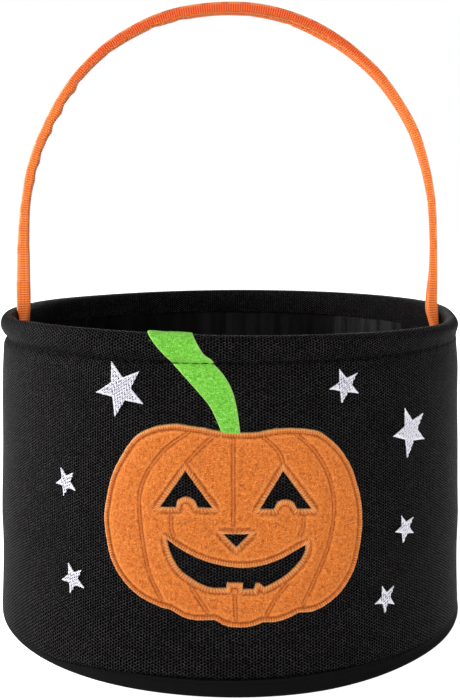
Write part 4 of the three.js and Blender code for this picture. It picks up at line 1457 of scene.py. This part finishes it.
def make_bar_tacks():
    """Close zigzag of black thread that holds each end of the ribbon."""
    count, reach, tall = 15, 4.8, 2.2
    y = np.linspace(-reach, reach, count)
    share = np.linspace(0, 1, 5)
    heading = np.where(np.arange(count) % 2 == 0, 1, -1)
    z = STITCH_ROW + heading[:, None] * (share - 0.5) * tall
    for name, side in (("left", -1), ("right", 1)):
        across = y[:, None] + 0.34 * (share - 0.5) + draw.normal(0, 0.03, (count, 1))
        x = side * (LEG - 1.25 - np.array([0.1, 0.3, 0.38, 0.3, 0.1])) + 0 * z
        strokes = np.stack([x, across, z], axis=-1)
        tubes(f"{name}_tack_stitches", strokes, 0.19, "black_thread", (f"{name}_bar_tack",),
              out=np.array([-side * 1.0, 0.0, 0.0]))


# Camera and light

AMBIENT = 0.34  # light that comes to the bag from all sides
# Lamps in metres: (name, place, what it points at, diameter, power)
LAMPS = [
    ("key", (-1.45, 0.25, 0.45), (0, 0, 0.12), 0.7, 27),
    ("left_edge", (-1.3, 0.75, 0.6), (0, 0, 0.12), 0.7, 2),
    ("front", (0.12, -1.7, 1.0), (0, 0, 0.12), 1.2, 15.5),
    ("low", (-0.1, -0.95, 0.06), (0, 0, 0.34), 0.3, 3.8),
    ("back", (0.1, 1.6, 0.8), (0, 0, 0.12), 1.2, 13),
    ("right", (1.3, -0.6, 0.7), (0, 0, 0.12), 0.7, 0.2),
]


def make_camera():
    """The photograph's camera, level, with its picture shifted down."""
    data = bpy.data.cameras.new("view")
    data.sensor_width = SENSOR
    data.lens = FOCAL * SENSOR
    data.shift_y = -HORIZON_SHARE
    data.clip_start = 0.01
    camera = bpy.data.objects.new("view", data)
    camera.location = (0.0, -VIEW_BACK * MM, VIEW_HEIGHT * MM)
    camera.rotation_euler = (math.pi / 2, 0, 0)
    bpy.context.scene.collection.objects.link(camera)
    bpy.context.scene.camera = camera


def make_light(name, spot, aim, size, power):
    """A round soft lamp that points at its aim."""
    data = bpy.data.lights.new(name, "AREA")
    data.shape = "DISK"
    data.size = size
    data.energy = power
    light = bpy.data.objects.new(name, data)
    light.location = spot
    way = np.array(aim, float) - np.array(spot, float)
    flat = math.hypot(way[0], way[1])
    tilt, heading = math.atan2(way[2], flat), math.atan2(way[1], way[0])
    light.rotation_euler = (math.pi / 2 + tilt, 0, heading - math.pi / 2)
    bpy.context.scene.collection.objects.link(light)


def make_surroundings():
    """A pale floor that keeps the shadow, a white background and soft lamps."""
    size = 6.0
    mesh = bpy.data.meshes.new("floor")
    corners = [(x * size, y * size, -1e-4) for x, y in ((-1, -1), (1, -1), (1, 1), (-1, 1))]
    mesh.from_pydata(corners, [], [(0, 1, 2, 3)])
    floor = bpy.data.objects.new("floor", mesh)
    bpy.context.scene.collection.objects.link(floor)
    paint = Paint("pale_floor", rough=0.9, shine=0.1)
    paint.color(tint(240, 240, 240))
    rays = paint.node("LightPath")
    mirrored = paint.math("MAXIMUM", rays.outputs["Is Glossy Ray"], rays.outputs["Is Transmission Ray"])
    seen = paint.math("MAXIMUM", rays.outputs["Is Camera Ray"], mirrored)
    paint.put(paint.shader.inputs["Emission Color"], (1, 1, 1, 1))
    paint.put(paint.shader.inputs["Emission Strength"], paint.times(seen, 0.75))
    mesh.materials.append(paint.material)

    world = bpy.data.worlds.new("studio")
    bpy.context.scene.world = world
    world.use_nodes = True
    tree = world.node_tree
    background = tree.nodes["Background"]
    background.inputs["Color"].default_value = (1, 1, 1, 1)
    rays = tree.nodes.new("ShaderNodeLightPath")
    seen = tree.nodes.new("ShaderNodeMath")
    seen.operation = "MULTIPLY_ADD"
    seen.inputs[1].default_value = 1.0 - AMBIENT
    seen.inputs[2].default_value = AMBIENT
    tree.links.new(rays.outputs["Is Camera Ray"], seen.inputs[0])
    tree.links.new(seen.outputs[0], background.inputs["Strength"])
    for lamp in LAMPS:
        make_light(*lamp)


# The scene

bpy.context.scene.view_settings.view_transform = "Standard"
make_camera()
make_surroundings()
make_foam()
make_side_cloth()
make_side_lining()
make_binding()
make_disc("base_cloth", "base_panel", 112.1, 6.85, 0.8, base_relief, "side_cloth",
          BASE_CLOTH)
make_disc("floor_cloth", "floor_lining", 109.2, 10.5, 0.45, floor_relief, "lining")
make_pumpkin_felt()
make_stitching()
for star_name, star in STARS.items():
    make_star(star_name, *star)
make_stem()
make_hem_stitches()
make_tape_stitches()
make_fibres()
make_handle()
make_bar_tacks()
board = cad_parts["base_board"]
board.data.materials.clear()
board.data.materials.append(BOARD)
